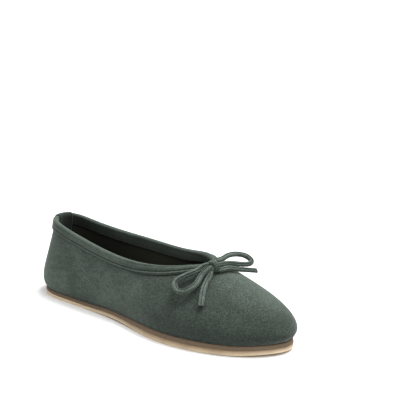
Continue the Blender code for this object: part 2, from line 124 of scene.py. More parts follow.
STATIONS = (
    Station(0.000, 0.00, False, 0.035, 0.00, 1.00, 0.00, 0.75, 0.10, 0.69, 0.50),
    Station(0.028, -0.63, False, 0.053, -0.49, 0.97, 0.00, 0.75, 0.10, 0.65, 0.50),
    Station(0.103, -0.97, False, 0.126, -0.80, 0.82, 0.00, 0.60, 0.20, 0.45, 0.45),
    Station(0.225, -1.03, False, 0.247, -0.91, 0.44, 0.10, 0.45, 0.32, 0.30, 0.40),
    Station(0.397, -0.75, True, 0.376, -0.97, 0.11, 0.20, 0.38, 0.40, 0.26, 0.40),
    Station(0.538, -0.92, True, 0.499, -0.94, 0.00, 0.25, 0.40, 0.44, 0.30, 0.34),
    Station(0.660, -1.03, True, 0.602, -0.74, 0.00, 0.55, 0.45, 0.44, 0.40, 0.26),
    Station(0.791, -0.93, True, 0.664, -0.42, 0.00, 0.90, 0.65, 0.38, 0.47, 0.22),
    Station(0.905, -0.63, True, 0.692, -0.16, 0.00, 1.00, 1.00, 0.31, 0.50, 0.21),
    Station(0.974, -0.25, True, 0.700, 0.00, 0.00, 1.00, 1.35, 0.29, 0.52, 0.21),
    Station(1.000, 0.14, True, 0.702, 0.12, 0.00, 1.00, 1.45, 0.28, 0.55, 0.21),
    Station(0.974, 0.48, True, 0.699, 0.26, 0.00, 1.00, 1.40, 0.29, 0.56, 0.21),
    Station(0.907, 0.75, True, 0.688, 0.42, 0.00, 1.00, 1.15, 0.32, 0.56, 0.21),
    Station(0.822, 0.91, True, 0.660, 0.62, 0.00, 1.00, 0.80, 0.38, 0.53, 0.22),
    Station(0.700, 0.95, True, 0.602, 0.86, 0.00, 0.85, 0.45, 0.44, 0.40, 0.26),
    Station(0.548, 0.75, True, 0.499, 0.99, 0.00, 0.30, 0.40, 0.44, 0.30, 0.34),
    Station(0.397, 0.56, True, 0.375, 0.97, 0.12, 0.10, 0.42, 0.40, 0.26, 0.40),
    Station(0.225, 0.93, False, 0.243, 0.89, 0.27, 0.00, 0.48, 0.32, 0.30, 0.40),
    Station(0.103, 0.96, False, 0.124, 0.78, 0.47, 0.00, 0.60, 0.20, 0.45, 0.45),
    Station(0.028, 0.63, False, 0.052, 0.50, 0.82, 0.00, 0.75, 0.10, 0.65, 0.50),
)
THROAT = 9.0
TOE = 10.0
TURN = float(len(STATIONS))
TAN_PROFILE = (
    (-0.4, 0.0), (-0.22, 0.05), (-0.15, 0.2), (-0.1, 0.4),
    (-0.05, 0.65), (0.0, 0.86), (-0.1, 0.95), (-0.4, 1.0),
)
BROWN_PROFILE = (
    (0.75, 0.0), (0.9, 0.06), (0.95, 0.2), (1.0, 0.4), (1.0, 0.62), (0.9, 0.82), (0.66, 0.95), (0.3, 1.0)
)
CUT_TIP = ((0.94, -0.0001), (0.62, 0.0), (0.5, 0.0004), (0.45, 0.0016))
PAD_PROFILE = ((-0.0004, 0.0), (0.0, 0.2), (0.0, 0.7), (-0.0003, 0.92), (-0.0010, 1.0))
ROLL_STEPS = 11
INSIDE_LEG = np.array([0.1, 0.3, 0.5, 0.7, 0.9, 1.0])
BELOW_SEAM = np.array([1.0, 0.93, 0.8, 0.6, 0.4, 0.2, 0.08])
ABOVE_SEAM = np.array([1.0, 0.95, 0.88, 0.75, 0.6, 0.45, 0.3, 0.15, 0.04])


class SoleRow(NamedTuple):
    """The sole's layers at one place along the shoe."""

    along: float
    spring: float
    arch: float
    tread: float
    midsole: float


SOLE_ROWS = (
    SoleRow(0.00, 0.2, 0.0, 0.60, 0.72),
    SoleRow(0.05, 0.0, 0.0, 0.61, 0.72),
    SoleRow(0.25, 0.0, 0.0, 0.61, 0.72),
    SoleRow(0.42, 0.0, 1.0, 0.68, 0.76),
    SoleRow(0.60, 0.0, 0.0, 1.00, 1.04),
    SoleRow(0.76, 0.0, 0.0, 1.00, 1.04),
    SoleRow(0.88, 0.2, 0.0, 0.92, 1.00),
    SoleRow(1.00, 1.0, 0.0, 0.82, 1.00),
)


class Crease(NamedTuple):
    """A soft trough (below 0) or ridge (above 0) along places on the wall."""

    name: str
    places: tuple[tuple[float, float], ...]
    width: float
    height: float


CREASES = (
    Crease("quarter_hollow_out", ((3.7, 0.75), (4.3, 0.55), (4.9, 0.35)), 0.0150, -0.0007),
    Crease("quarter_swell_out", ((5.0, 0.80), (5.6, 0.62)), 0.0100, 0.0004),
    Crease("throat_pull_out", ((7.6, 0.93), (6.9, 0.80), (6.4, 0.62)), 0.0042, -0.0004),
    Crease("throat_ridge_out", ((8.2, 0.93), (7.4, 0.78), (6.9, 0.60)), 0.0045, 0.0003),
    Crease("vamp_bend_out", ((7.4, 0.70), (6.9, 0.50), (6.5, 0.30)), 0.0070, -0.0004),
    Crease("vamp_bend_in", ((12.6, 0.70), (13.2, 0.50), (13.6, 0.30)), 0.0070, -0.0004),
    Crease("throat_pull_in", ((12.0, 0.93), (13.0, 0.80), (13.5, 0.62)), 0.0042, -0.0004),
    Crease("quarter_hollow_in", ((16.3, 0.75), (15.7, 0.55), (15.1, 0.35)), 0.0150, -0.0007),
    Crease("toe_hollow", ((8.6, 0.42), (9.4, 0.40)), 0.0090, -0.0003),
    Crease("heel_hollow_out", ((1.3, 0.62), (2.2, 0.60)), 0.0110, -0.0004),
    Crease("heel_hollow_in", ((18.7, 0.62), (17.8, 0.60)), 0.0110, -0.0004),
    Crease("back_seam", ((0.0, 0.02), (0.0, 0.98)), 0.0007, -0.0005),
    Crease("back_seam_lip_out", ((0.05, 0.02), (0.07, 0.98)), 0.0011, 0.0002),
    Crease("back_seam_lip_in", ((19.95, 0.02), (19.93, 0.98)), 0.0011, 0.0002),
)


class Strand(NamedTuple):
    """Where a strand leaves the knot, from the knot's middle, in shares of the lace's width."""

    ahead: float
    above: float


class Side(NamedTuple):
    """One side of the bow: where its strands leave the knot, and their routes.

    A route's points lie ahead of, aside from and above the knot's middle, in shares of the bow's
    reach.
    """

    word: str
    sign: float
    beside: float
    back: Strand
    front: Strand
    tail: Strand
    loop: tuple[Place, ...]
    end: tuple[Place, ...]


LOOP_OUTER = (
    (-0.161, -0.214, -0.033),
    (-0.228, -0.396, -0.098),
    (-0.341, -0.526, -0.168),
    (-0.406, -0.636, -0.226),
    (-0.411, -0.731, -0.304),
    (-0.296, -0.811, -0.375),
    (-0.161, -0.799, -0.398),
    (-0.037, -0.708, -0.346),
    (0.007, -0.538, -0.257),
    (-0.046, -0.309, -0.131),
)
LOOP_INNER = (
    (-0.045, 0.300, 0.081),
    (-0.048, 0.494, 0.111),
    (-0.008, 0.714, 0.107),
    (0.077, 0.889, 0.058),
    (0.165, 0.963, -0.008),
    (0.226, 0.950, -0.063),
    (0.236, 0.839, -0.087),
    (0.172, 0.643, -0.059),
    (0.096, 0.465, -0.018),
    (0.042, 0.281, 0.003),
)
END_OUTER = (
    (0.065, -0.209, -0.177),
    (0.109, -0.362, -0.271),
    (0.183, -0.523, -0.388),
    (0.259, -0.645, -0.501),
    (0.335, -0.752, -0.608),
)
END_INNER = (
    (0.135, 0.319, -0.081),
    (0.194, 0.555, -0.144),
    (0.254, 0.794, -0.203),
    (0.311, 1.023, -0.258),
)
SIDES = (
    Side(
        "outer", -1.0, 0.60,
        Strand(-0.95, 0.50), Strand(0.10, 0.12), Strand(0.45, -0.95),
        LOOP_OUTER, END_OUTER,
    ),
    Side(
        "inner", 1.0, 0.13,
        Strand(-0.45, 0.95), Strand(0.35, 0.15), Strand(0.85, -0.85),
        LOOP_INNER, END_INNER,
    ),
)


def spline(values: Array, at: Array, closed: bool = False) -> Array:
    """The cubic through rows that stand at 0, 1, 2 and so on.

    Args:
        values: The rows.
        at: Where points are wanted.
        closed: Whether the last row leads back to the first.

    Returns:
        A row for each place.
    """
    count = len(values)
    matrix = 4.0 * np.eye(count) + np.eye(count, k=1) + np.eye(count, k=-1)
    if closed:
        matrix[0, -1] = matrix[-1, 0] = 1.0
        after, before = np.roll(values, -1, axis=0), np.roll(values, 1, axis=0)
        at = np.asarray(at, float) % count
    else:
        matrix[0, 0] = matrix[-1, -1] = 2.0
        after, before = np.vstack([values[1:], values[-1:]]), np.vstack([values[:1], values[:-1]])
    slope = np.linalg.solve(matrix, 3.0 * (after - before))
    first = np.minimum(np.floor(at).astype(int), count - (1 if closed else 2))
    second = (first + 1) % count
    t = (at - first)[:, None]
    near = (2 * t**3 - 3 * t**2 + 1) * values[first] + (t**3 - 2 * t**2 + t) * slope[first]
    return near + (3 * t**2 - 2 * t**3) * values[second] + (t**3 - t**2) * slope[second]


def travelled(points: Array) -> Array:
    """The distance covered at each point of a line."""
    return np.concatenate([[0.0], np.cumsum(np.linalg.norm(np.diff(points, axis=0), axis=1))])


def unit(vectors: Array) -> Array:
    """The same vectors, each of length one."""
    return vectors / np.maximum(np.linalg.norm(vectors, axis=-1, keepdims=True), 1e-12)


def placed(name: str, data: bpy.types.ID) -> Piece:
    """Puts a mesh, camera or light in the scene.

    Args:
        name: The object's name.
        data: What it holds.

    Returns:
        The object.
    """
    made = bpy.data.objects.new(name, data)
    bpy.context.scene.collection.objects.link(made)
    return made


def uneven(points: Array, scale: float, seed: float) -> Array:
    """Smooth noise from -1 to 1 at each point.

    Args:
        points: Points in rows of three.
        scale: The size of its swells, in metres.
        seed: Shifts the pattern.

    Returns:
        A number for each point, in the points' own layout.
    """
    flat = points.reshape(-1, 3) / scale + seed
    values = np.array([noise.noise(Vector(point)) for point in flat])
    return values.reshape(points.shape[:-1])


class Skin(NamedTuple):
    """Points on the wall's outer face, with what faces outwards and what leads uphill."""

    points: Array
    outwards: Array
    uphill: Array


class Sections(NamedTuple):
    """The last's outside at places round the shoe."""

    edge: Array
    outwards: Array
    rim: Array
    low: Array
    high: Array


@dataclass
class Last:
    """The shape that the shoe is made on, worked out from its sizes and sections."""

    sizes: Sizes = field(default_factory=Sizes)
    origin: Array = field(default_factory=lambda: np.zeros(3))

    def __post_init__(self) -> None:
        """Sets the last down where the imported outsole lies."""
        size = self.sizes
        ring = self.ring(self.round_places(84), size.overhang + size.ledge, self.tread_top)
        low = np.array(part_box("outsole")[0])
        self.origin = np.array([low[0] - ring[:, 0].min(), low[1] - ring[:, 1].min(), 0.0])

    def level(self, x: Array, heights: Sequence[float]) -> Array:
        """A height given for each row of the sole, easing from row to row.

        Args:
            x: Distances from the heel's back, before the origin is added.
            heights: One for each row.

        Returns:
            A height for each distance.
        """
        places = np.array([row.along * self.sizes.length for row in SOLE_ROWS])
        levels = np.array(heights)
        x = np.clip(x, places[0], places[-1])
        row = np.clip(np.searchsorted(places, x, side="right") - 1, 0, len(places) - 2)
        t = (x - places[row]) / (places[row + 1] - places[row])
        return levels[row] + (levels[row + 1] - levels[row]) * t * t * (3 - 2 * t)

    def tread_under(self, x: Array) -> Array:
        """Height of the outsole's underside."""
        size = self.sizes
        return self.level(x, [row.spring * size.toe_spring + row.arch * size.arch_rise for row in SOLE_ROWS])

    def tread_top(self, x: Array) -> Array:
        """Height of the outsole's upper face."""
        return self.tread_under(x) + self.level(x, [row.tread * self.sizes.tread for row in SOLE_ROWS])

    def midsole_under(self, x: Array) -> Array:
        """Height of the midsole's underside, pressed down close to the outsole."""
        return self.tread_top(x) + 0.1 * self.sizes.gap

    def midsole_top(self, x: Array) -> Array:
        """Height of the midsole's upper face."""
        thick = self.level(x, [row.midsole * self.sizes.midsole for row in SOLE_ROWS])
        return self.tread_top(x) + self.sizes.gap + thick

    def upper_under(self, x: Array) -> Array:
        """Height of the upper's underside."""
        return self.midsole_top(x) + self.sizes.gap

    def insole_under(self, x: Array) -> Array:
        """Height of the insole's underside."""
        return self.upper_under(x) + self.sizes.wall + self.sizes.gap

    def insole_top(self, x: Array) -> Array:
        """Height of the insole's upper face."""
        return self.insole_under(x) + self.sizes.insole

    def sections(self, at: Array) -> Sections:
        """Edges, rims and wall handles at places round the shoe.

        Args:
            at: Places, counted in stations.

        Returns:
            The sections there.
        """
        size = self.sizes
        half = [(size.ball_width if row.ball else size.heel_width) / 2 for row in STATIONS]
        plan = np.array([[row.along * size.length, row.across * w] for row, w in zip(STATIONS, half)])
        edge = spline(plan, at, True)
        run = unit(spline(plan, at + 1e-3, True) - spline(plan, at - 1e-3, True))
        outwards = np.column_stack([run[:, 1], -run[:, 0], np.zeros(len(run))])
        edge = np.column_stack([edge, self.upper_under(edge[:, 0])])
        rims = [
            [
                row.rim_along * size.length,
                row.rim_across * size.collar_width / 2,
                size.side_height
                - size.binding_rise
                + row.back * (size.back_height - size.side_height)
                + row.throat * (size.throat_height - size.side_height),
            ]
            for row in STATIONS
        ]
        rim = spline(np.array(rims), at, True)
        shares = np.array([[row.bulge, row.low, row.out, row.drop] for row in STATIONS])
        shares = spline(shares, at, True)
        bulge, low, out, drop = (shares[:, [k]] for k in range(4))
        up = np.array([[0.0, 0.0, 1.0]])
        height = (rim - edge)[:, [2]]
        level = (edge - rim) * np.array([[1.0, 1.0, 0.0]])
        lower = edge + outwards * bulge * size.bulge + up * low * height
        higher = rim + level * out - up * drop * height
        here = self.origin
        return Sections(edge + here, outwards, rim + here, lower + here, higher + here)

    def wall(self, at: Array, share: Array) -> Array:
        """Points of the wall's outer face, from the edge on the sole (0) up to the rim (1).

        Args:
            at: Places, counted in stations.
            share: Shares of the way up.

        Returns:
            A lattice of points, places by shares.
        """
        found = self.sections(at)
        edge, low, high, rim = (p[:, None, :] for p in (found.edge, found.low, found.high, found.rim))
        t = share[None, :, None]
        return (1 - t) ** 3 * edge + 3 * t * (1 - t) ** 2 * low + 3 * t**2 * (1 - t) * high + t**3 * rim

    def facing(self, at: Array, share: Array) -> Array:
        """The wall's outward normals.

        Args:
            at: Places, counted in stations.
            share: Shares of the way up.

        Returns:
            A lattice of normals, places by shares.
        """
        low, high = np.clip(share - 1e-3, 0, 1), np.clip(share + 1e-3, 0, 1)
        climb = unit(self.wall(at, high) - self.wall(at, low))
        run = unit(self.wall(at + 1e-3, share) - self.wall(at - 1e-3, share))
        return unit(np.cross(run, climb))

    def below_rim(self, at: Array, depths: Array) -> Skin:
        """The wall's outer face at depths below its rim.

        Args:
            at: Places, counted in stations.
            depths: One depth for each column, or one for each place and column.

        Returns:
            Points, outward normals and uphill directions, places by depths.
        """
        depths = np.broadcast_to(depths, (len(at), np.shape(depths)[-1]))
        fine = np.linspace(0.0, 1.0, 121)
        here = self.wall(at, fine)
        climb = unit(np.gradient(here, axis=1))
        facing = unit(np.cross(self.wall(at + 1e-3, fine) - self.wall(at - 1e-3, fine), climb))
        found = np.zeros((3, len(at), depths.shape[1], 3))
        for i in range(len(at)):
            run = travelled(here[i])
            wanted = run[-1] - depths[i]
            for kind, values in enumerate((here[i], facing[i], climb[i])):
                for axis in range(3):
                    found[kind, i, :, axis] = np.interp(wanted, run, values[:, axis])
        return Skin(found[0], unit(found[1]), unit(found[2]))

    def round_places(self, count: int) -> Array:
        """Even places round the sole, as many on the outer side as on the inner side.

        Args:
            count: How many.

        Returns:
            The places, counted in stations.
        """
        sides = []
        for start, end in ((0.0, TOE), (TOE, TURN)):
            fine = np.linspace(start, end, 800)
            run = travelled(self.sections(fine).edge)
            sides.append(np.interp(np.linspace(0.0, run[-1], count // 2 + 1), run, fine)[:-1])
        return np.concatenate(sides)

    def rim_run(self) -> tuple[Array, Array, float]:
        """Measures the rim.

        Returns:
            Places along it, their distances from the heel's back, and its whole length.
        """
        fine = np.linspace(-TURN, 2 * TURN, 6001)
        run = travelled(self.sections(fine).rim)
        run -= run[2000]
        return fine, run, float(run[4000])

    def rim_places(self, start: float, end: float, count: int) -> Array:
        """Even places along the rim between two distances from the heel's back.

        Args:
            start: The first distance.
            end: The last, counted on round the shoe where it is less than the first.
            count: How many places.

        Returns:
            The places, counted in stations.
        """
        fine, run, total = self.rim_run()
        return np.interp(np.linspace(start, end if end > start else end + total, count), run, fine)

    def folded(self, legs: tuple[Skin, Skin, Skin], outsets: tuple[Array, Array, Array, Array]) -> Array:
        """A strip folded over the rim: an outside leg, a roll above the rim and an inside leg.

        Args:
            legs: The wall's face under the outside leg, at the rim and under the inside leg.
            outsets: How far the outside leg stands out, how far the roll stands past the wall
                and rises, and how far the inside leg's face lies behind the wall's outer face.

        Returns:
            Its points, places along the rim by columns round its section.
        """
        size = self.sizes
        outer, crest, inner = legs
        stand, over, rise, inside = (outset[:, :, None] for outset in outsets)
        half = size.wall / 2
        front = [outer.points + outer.outwards * stand]
        back = [outer.points + outer.outwards * size.gap]
        for angle in np.linspace(0.0, math.pi, ROLL_STEPS):
            reach = math.cos(angle) * (half + over) - half
            front.append(crest.points + crest.outwards * reach + crest.uphill * math.sin(angle) * rise)
            hold = math.cos(angle) * (half + size.gap) - half
            lift = math.sin(angle) * (size.binding_rise - size.binding)
            back.append(crest.points + crest.outwards * hold + crest.uphill * lift)
        front.append(inner.points - inner.outwards * inside)
        back.append(inner.points - inner.outwards * (size.wall + size.gap))
        return np.concatenate(front + [np.concatenate(back, axis=1)[:, ::-1]], axis=1)

    def ring(self, at: Array, outset: Array | float, height: Callable[[Array], Array]) -> Array:
        """A ring round the sole.

        Args:
            at: Places, counted in stations.
            outset: How far it stands out from the upper's edge.
            height: Gives the height for each distance from the heel's back.

        Returns:
            The ring's points.
        """
        found = self.sections(at)
        points = found.edge + found.outwards * np.reshape(outset, (-1, 1))
        points[:, 2] = height(points[:, 0] - self.origin[0])
        return points


class Mark(NamedTuple):
    """A soft line across a chart: where it lies, how far it reaches and how strong it is."""

    middle: float
    reach: float
    strength: float


class Wire:
    """A socket's value, which Python's own operators work on."""

    def __init__(self, graph: "Graph", socket: bpy.types.NodeSocket) -> None:
        """Wraps a socket of a graph."""
        self.graph = graph
        self.socket = socket

    def _math(self, operation: str, first: "Wire | float", second: "Wire | float") -> "Wire":
        """Adds a Math node on two values."""
        return self.graph.node("ShaderNodeMath", {"operation": operation}, {0: first, 1: second})

    def __add__(self, other: "Wire | float") -> "Wire":
        """The sum."""
        return self._math("ADD", self, other)

    __radd__ = __add__

    def __mul__(self, other: "Wire | float") -> "Wire":
        """The product."""
        return self._math("MULTIPLY", self, other)

    __rmul__ = __mul__

    def __sub__(self, other: "Wire | float") -> "Wire":
        """The difference."""
        return self._math("SUBTRACT", self, other)

    def __rsub__(self, other: float) -> "Wire":
        """The difference from a number."""
        return self._math("SUBTRACT", other, self)

    def step(self, start: float, end: float) -> "Wire":
        """Eases from 0 at one value to 1 at another."""
        settings = {"interpolation_type": "SMOOTHSTEP"}
        return self.graph.node("ShaderNodeMapRange", settings, {0: self, 1: start, 2: end, 3: 0.0, 4: 1.0})

    def bell(self, mark: Mark) -> "Wire":
        """Rises to a mark's strength at its middle, and falls to 0 at its reach."""
        low, middle, high = mark.middle - mark.reach, mark.middle, mark.middle + mark.reach
        return self.step(low, middle) * (1.0 - self.step(middle, high)) * mark.strength


class Graph:
    """A material's nodes."""

    def __init__(self, name: str) -> None:
        """Starts an empty material.

        Args:
            name: The material's name.
        """
        self.material = bpy.data.materials.new(name)
        self.material.use_nodes = True
        self.tree = self.material.node_tree
        self.tree.nodes.clear()

    def node(
        self, kind: str, settings: dict | None = None, inputs: dict | None = None, output: int | str = 0
    ) -> Wire:
        """Adds a node.

        Args:
            kind: The node's type.
            settings: Its settings, set first; "stops" are a ramp's places and colours.
            inputs: Values or wires for its sockets, by number or name.
            output: Which output is wanted.

        Returns:
            That output.
        """
        made = self.tree.nodes.new(kind)
        for key, value in (settings or {}).items():
            if key == "stops":
                stops = made.color_ramp.elements
                while len(stops) < len(value):
                    stops.new(0.5)
                for stop, (place, colour) in zip(stops, value):
                    stop.position = place
                    stop.color = (*colour, 1.0)
            else:
                setattr(made, key, value)
        for key, value in (inputs or {}).items():
            if isinstance(value, Wire):
                self.tree.links.new(value.socket, made.inputs[key])
            elif isinstance(value, tuple) and made.inputs[key].type == "RGBA":
                made.inputs[key].default_value = (*value, 1.0)
            else:
                made.inputs[key].default_value = value
        return Wire(self, made.outputs[output])

    def place(self, stretch: Place = (1.0, 1.0, 1.0), turn: Place = (0.0, 0.0, 0.0)) -> Wire:
        """Object coordinates, turned and stretched."""
        here = self.node("ShaderNodeTexCoord", output="Object")
        return self.node("ShaderNodeMapping", None, {"Vector": here, "Scale": stretch, "Rotation": turn})

    def chart(self, name: str) -> tuple[Wire, Wire]:
        """The two values of a piece's own UV map."""
        return self.parts(self.node("ShaderNodeUVMap", {"uv_map": name}))[:2]

    def here(self) -> tuple[Wire, Wire, Wire]:
        """How far along, aside and up a point lies."""
        return self.parts(self.node("ShaderNodeTexCoord", output="Object"))

    def parts(self, vector: Wire) -> tuple[Wire, Wire, Wire]:
        """A vector's three parts."""
        split = self.node("ShaderNodeSeparateXYZ", None, {0: vector})
        return tuple(Wire(self, output) for output in split.socket.node.outputs)

    def scaled(self, colour: Wire, share: Wire) -> Wire:
        """A colour made lighter or darker."""
        return self.node("ShaderNodeVectorMath", {"operation": "SCALE"}, {0: colour, "Scale": share})

    def noise(self, place: Wire, scale: float, detail: float = 2.0, rough: float = 0.5) -> Wire:
        """Noise from 0 to 1 at a scale, in swells for each metre."""
        inputs = {"Vector": place, "Scale": scale, "Detail": detail, "Roughness": rough}
        return self.node("ShaderNodeTexNoise", {"noise_dimensions": "3D"}, inputs)

    def mix(self, share: Wire | float, first: Wire | Colour, second: Wire | Colour) -> Wire:
        """One colour turning into another.

        Args:
            share: From 0 for the first colour to 1 for the second.
            first: A colour.
            second: Another.

        Returns:
            The colour.
        """
        return self.node("ShaderNodeMix", {"data_type": "RGBA"}, {0: share, 6: first, 7: second}, output=2)

    def bump(self, height: Wire, strength: float, distance: float) -> Wire:
        """A normal raised by a height."""
        inputs = {"Strength": strength, "Distance": distance, "Height": height}
        return self.node("ShaderNodeBump", None, inputs)

    def finish(self, inputs: dict) -> Material:
        """Joins a Principled shader to the output.

        Args:
            inputs: Its sockets' values and wires.

        Returns:
            The material.
        """
        shader = self.node("ShaderNodeBsdfPrincipled", None, inputs)
        output = self.tree.nodes.new("ShaderNodeOutputMaterial")
        self.tree.links.new(shader.socket, output.inputs["Surface"])
        return self.material


class PaintedChartLight(Enum):
    """Where a suede piece's own chart places painted shade and painted highlights."""

    NONE = 0
    EDGE = 1
    SEAM = 2
    GROOVE = 3


# Marks on the binding's chart: SEAM_LINE is painted shade in the stitch groove, CUT_EDGE a painted shadow at
# the cut edge, LOW_RIDGE, CREST and FOLD painted highlights, and INSIDE to NEAR_FOLD painted shade inside the
# inner leg. UNDER_STRIP is a painted shadow on the upper just under the binding.
SEAM_LINE = Mark(0.0024, 0.0006, 0.95)
LOW_RIDGE = Mark(0.0013, 0.0008, 0.25)
CREST = Mark(0.0086, 0.0020, 0.30)
UNDER_STRIP = Mark(0.0069, 0.0015, 1.0)
CUT_EDGE = (0.0, 0.0008)
INSIDE = (0.0098, 0.0125)
NEAR_FOLD = (0.0160, 0.0172)
FOLD = (0.0168, 0.0176)
BACK = (0.02, 0.03)
# SOLE_SHADE and LOW_SHADE place painted shade near the sole; GROOVE_DEPTHS and CUT_END place painted shade in
# the lace's grooves and cut ends; HEEL_END and HEEL_HEIGHTS place painted shade high on the heel.
SOLE_SHADE = (0.0, 0.0022)
LOW_SHADE = (0.0, 0.012)
GROOVE_DEPTHS = (0.35, 1.0)
CUT_END = (0.85, 0.97)
HEEL_END = (-0.115, -0.060)
HEEL_HEIGHTS = (0.020, 0.044)
NAP_STOPS = (0.05, 0.5, 0.95)


@dataclass(frozen=True)
class Suede:
    """Napped suede: brushed patches, short fibres and a soft sheen."""

    name: str
    dark: Colour
    middle: Colour
    light: Colour
    patch: float = 48.0
    speck: float = 860.0
    mottle: float = 3.0
    sheen: float = 0.3
    painted_chart_light: PaintedChartLight = PaintedChartLight.NONE
    depth: float = 0.00035
    front_from: float = -0.035
    front_to: float = 0.045
    # heel_dark, heel_side, front_side, top, up_from and up_to set the painted light: painted highlight where
    # the suede faces up, painted shade low on the front's sides and high at the heel.
    heel_dark: float = 0.62
    heel_side: float = 1.18
    front_side: float = 0.67
    top: float = 1.32
    up_from: float = 0.76
    up_to: float = 1.03
    patch_share: float = 1.1
    stroke_share: float = 0.7
    fibre_share: float = 1.1
    # How dark the painted shade and how light the painted highlights are, as shares of the dark and light
    # colours.
    shade_share: float = 0.22
    highlight_share: float = 1.3

    def material(self) -> Material:
        """Makes the suede's nodes.

        Returns:
            The material.
        """
        graph = Graph(self.name)
        place = graph.place()
        patches = graph.noise(place, self.patch, 3.0, 0.62)
        strokes = graph.noise(graph.place((1.0, 1.0, 2.4), (0.3, 0.5, 0.6)), self.patch * 3.1, 2.0, 0.5)
        specks = graph.noise(graph.place((1.0, 1.0, 1.5), (0.5, 0.2, 0.4)), self.speck, 2.0, 0.8)
        fibres = graph.noise(graph.place((1.0, 2.2, 1.0), (0.4, 0.2, 0.9)), self.speck * 2.6, 2.0, 0.6)
        along, _, _ = graph.here()
        front = along.step(self.front_from, self.front_to)
        soft = (patches - 0.5) * self.patch_share + (strokes - 0.5) * self.stroke_share
        fine = (specks - 0.5) * self.mottle + (fibres - 0.5) * self.fibre_share
        nap = 0.5 + soft * (1.0 - front * 0.35) + fine * (0.75 + front * 0.35)
        stops = list(zip(NAP_STOPS, (self.dark, self.middle, self.light)))
        colour = graph.node("ShaderNodeValToRGB", {"stops": stops}, {0: nap})
        # Painted light: the colour is scaled lighter where the suede faces up and darker on its sides.
        colour = graph.scaled(colour, self.painted_facing_light(graph, front))
        # Painted shade and painted highlights from the piece's own chart.
        if self.painted_chart_light is not PaintedChartLight.NONE:
            dark, light = self.painted_shade_and_highlights(graph, front)
            colour = graph.mix(dark, colour, tuple(self.shade_share * value for value in self.dark))
            colour = graph.mix(light, colour, tuple(self.highlight_share * value for value in self.light))
        height = specks * 0.6 + fibres * 0.4 + patches * 0.8
        return graph.finish(
            {
                "Base Color": colour,
                "Roughness": 0.80 + nap * 0.2,
                "Normal": graph.bump(height, 0.6, self.depth),
                "Specular IOR Level": 0.12,
                "Sheen Weight": self.sheen,
                "Sheen Roughness": 0.42,
                "Sheen Tint": (0.72, 0.82, 0.75),
            }
        )

    def painted_facing_light(self, graph: Graph, front: Wire) -> Wire:
        """Painted light: lightest where the suede faces up, darkest low on the front's sides and high at the
        heel.

        Args:
            graph: The material's nodes.
            front: From 0 at the heel to 1 at the toe.

        Returns:
            A share of the colour.
        """
        _, _, facing = graph.parts(graph.node("ShaderNodeNewGeometry", output="Normal"))
        # Painted highlight on faces turned up; on the sides, painted light at the heel turning to painted
        # shade towards the toe.
        up = facing.step(self.up_from, self.up_to)
        along, _, height = graph.here()
        # Painted shade high on the heel's sides.
        heel = (1.0 - along.step(*HEEL_END)) * height.step(*HEEL_HEIGHTS)
        side = self.heel_side + front * (self.front_side - self.heel_side) - heel * self.heel_dark
        return side * (1.0 - up) + up * self.top

    def painted_shade_and_highlights(self, graph: Graph, front: Wire) -> tuple[Wire | float, Wire | float]:
        """The painted shade and painted highlights that the piece's chart places.

        Args:
            graph: The material's nodes.
            front: From 0 at the heel to 1 at the toe.

        Returns:
            How far painted shade darkens it and how far painted highlights lighten it, from 0 to 1.
        """
        if self.painted_chart_light is PaintedChartLight.EDGE:
            low, deep = graph.chart("reach")
            # Painted shade low on the wall by the sole, and a painted shadow just under the binding's edge.
            shade = (1.0 - low.step(*SOLE_SHADE)) * 0.5 + (1.0 - low.step(*LOW_SHADE)) * 0.16
            return shade + deep.bell(UNDER_STRIP) * (0.35 + front * 0.5), 0.0
        if self.painted_chart_light is PaintedChartLight.SEAM:
            strip, heel = graph.chart("strip")
            # Painted shade in the stitch groove, a painted shadow at the cut edge and painted shade inside
            # the inner leg; painted highlights on the crest, the low ridge and the fold, and painted light on
            # the inner leg towards the toe.
            seam = strip.bell(SEAM_LINE) + (1.0 - strip.step(*CUT_EDGE)) * 0.95
            seen, inside = 1.0 - strip.step(*BACK), strip.step(*INSIDE)
            shade = inside * (1.0 - strip.step(*NEAR_FOLD)) * (0.32 - front * 0.30)
            light = strip.bell(CREST) + strip.bell(LOW_RIDGE) + strip.step(*FOLD) * seen * 0.35
            return seam * (0.12 + heel * 0.88) + shade, light + inside * seen * front * 1.3
        # Painted shade deep in the lace's grooves and in its hollow cut ends.
        groove, along = graph.chart("lace")
        return groove.step(*GROOVE_DEPTHS) * 0.75 + along.step(*CUT_END) * 0.9, 0.0


@dataclass(frozen=True)
class Lining:
    """Dark lining leather with a fine grain."""

    name: str
    colour: Colour
    light: Colour

    def material(self) -> Material:
        """Makes the lining's nodes.

        Returns:
            The material.
        """
        graph = Graph(self.name)
        place = graph.place()
        grain = graph.noise(place, 900.0, 3.0, 0.6)
        cloud = graph.noise(place, 40.0, 2.0, 0.5)
        colour = graph.mix(grain * 0.5 + cloud * 0.5, self.colour, self.light)
        normal = graph.bump(grain, 0.35, 0.0002)
        return graph.finish(
            {"Base Color": colour, "Roughness": 0.85, "Normal": normal, "Specular IOR Level": 0.2}
        )


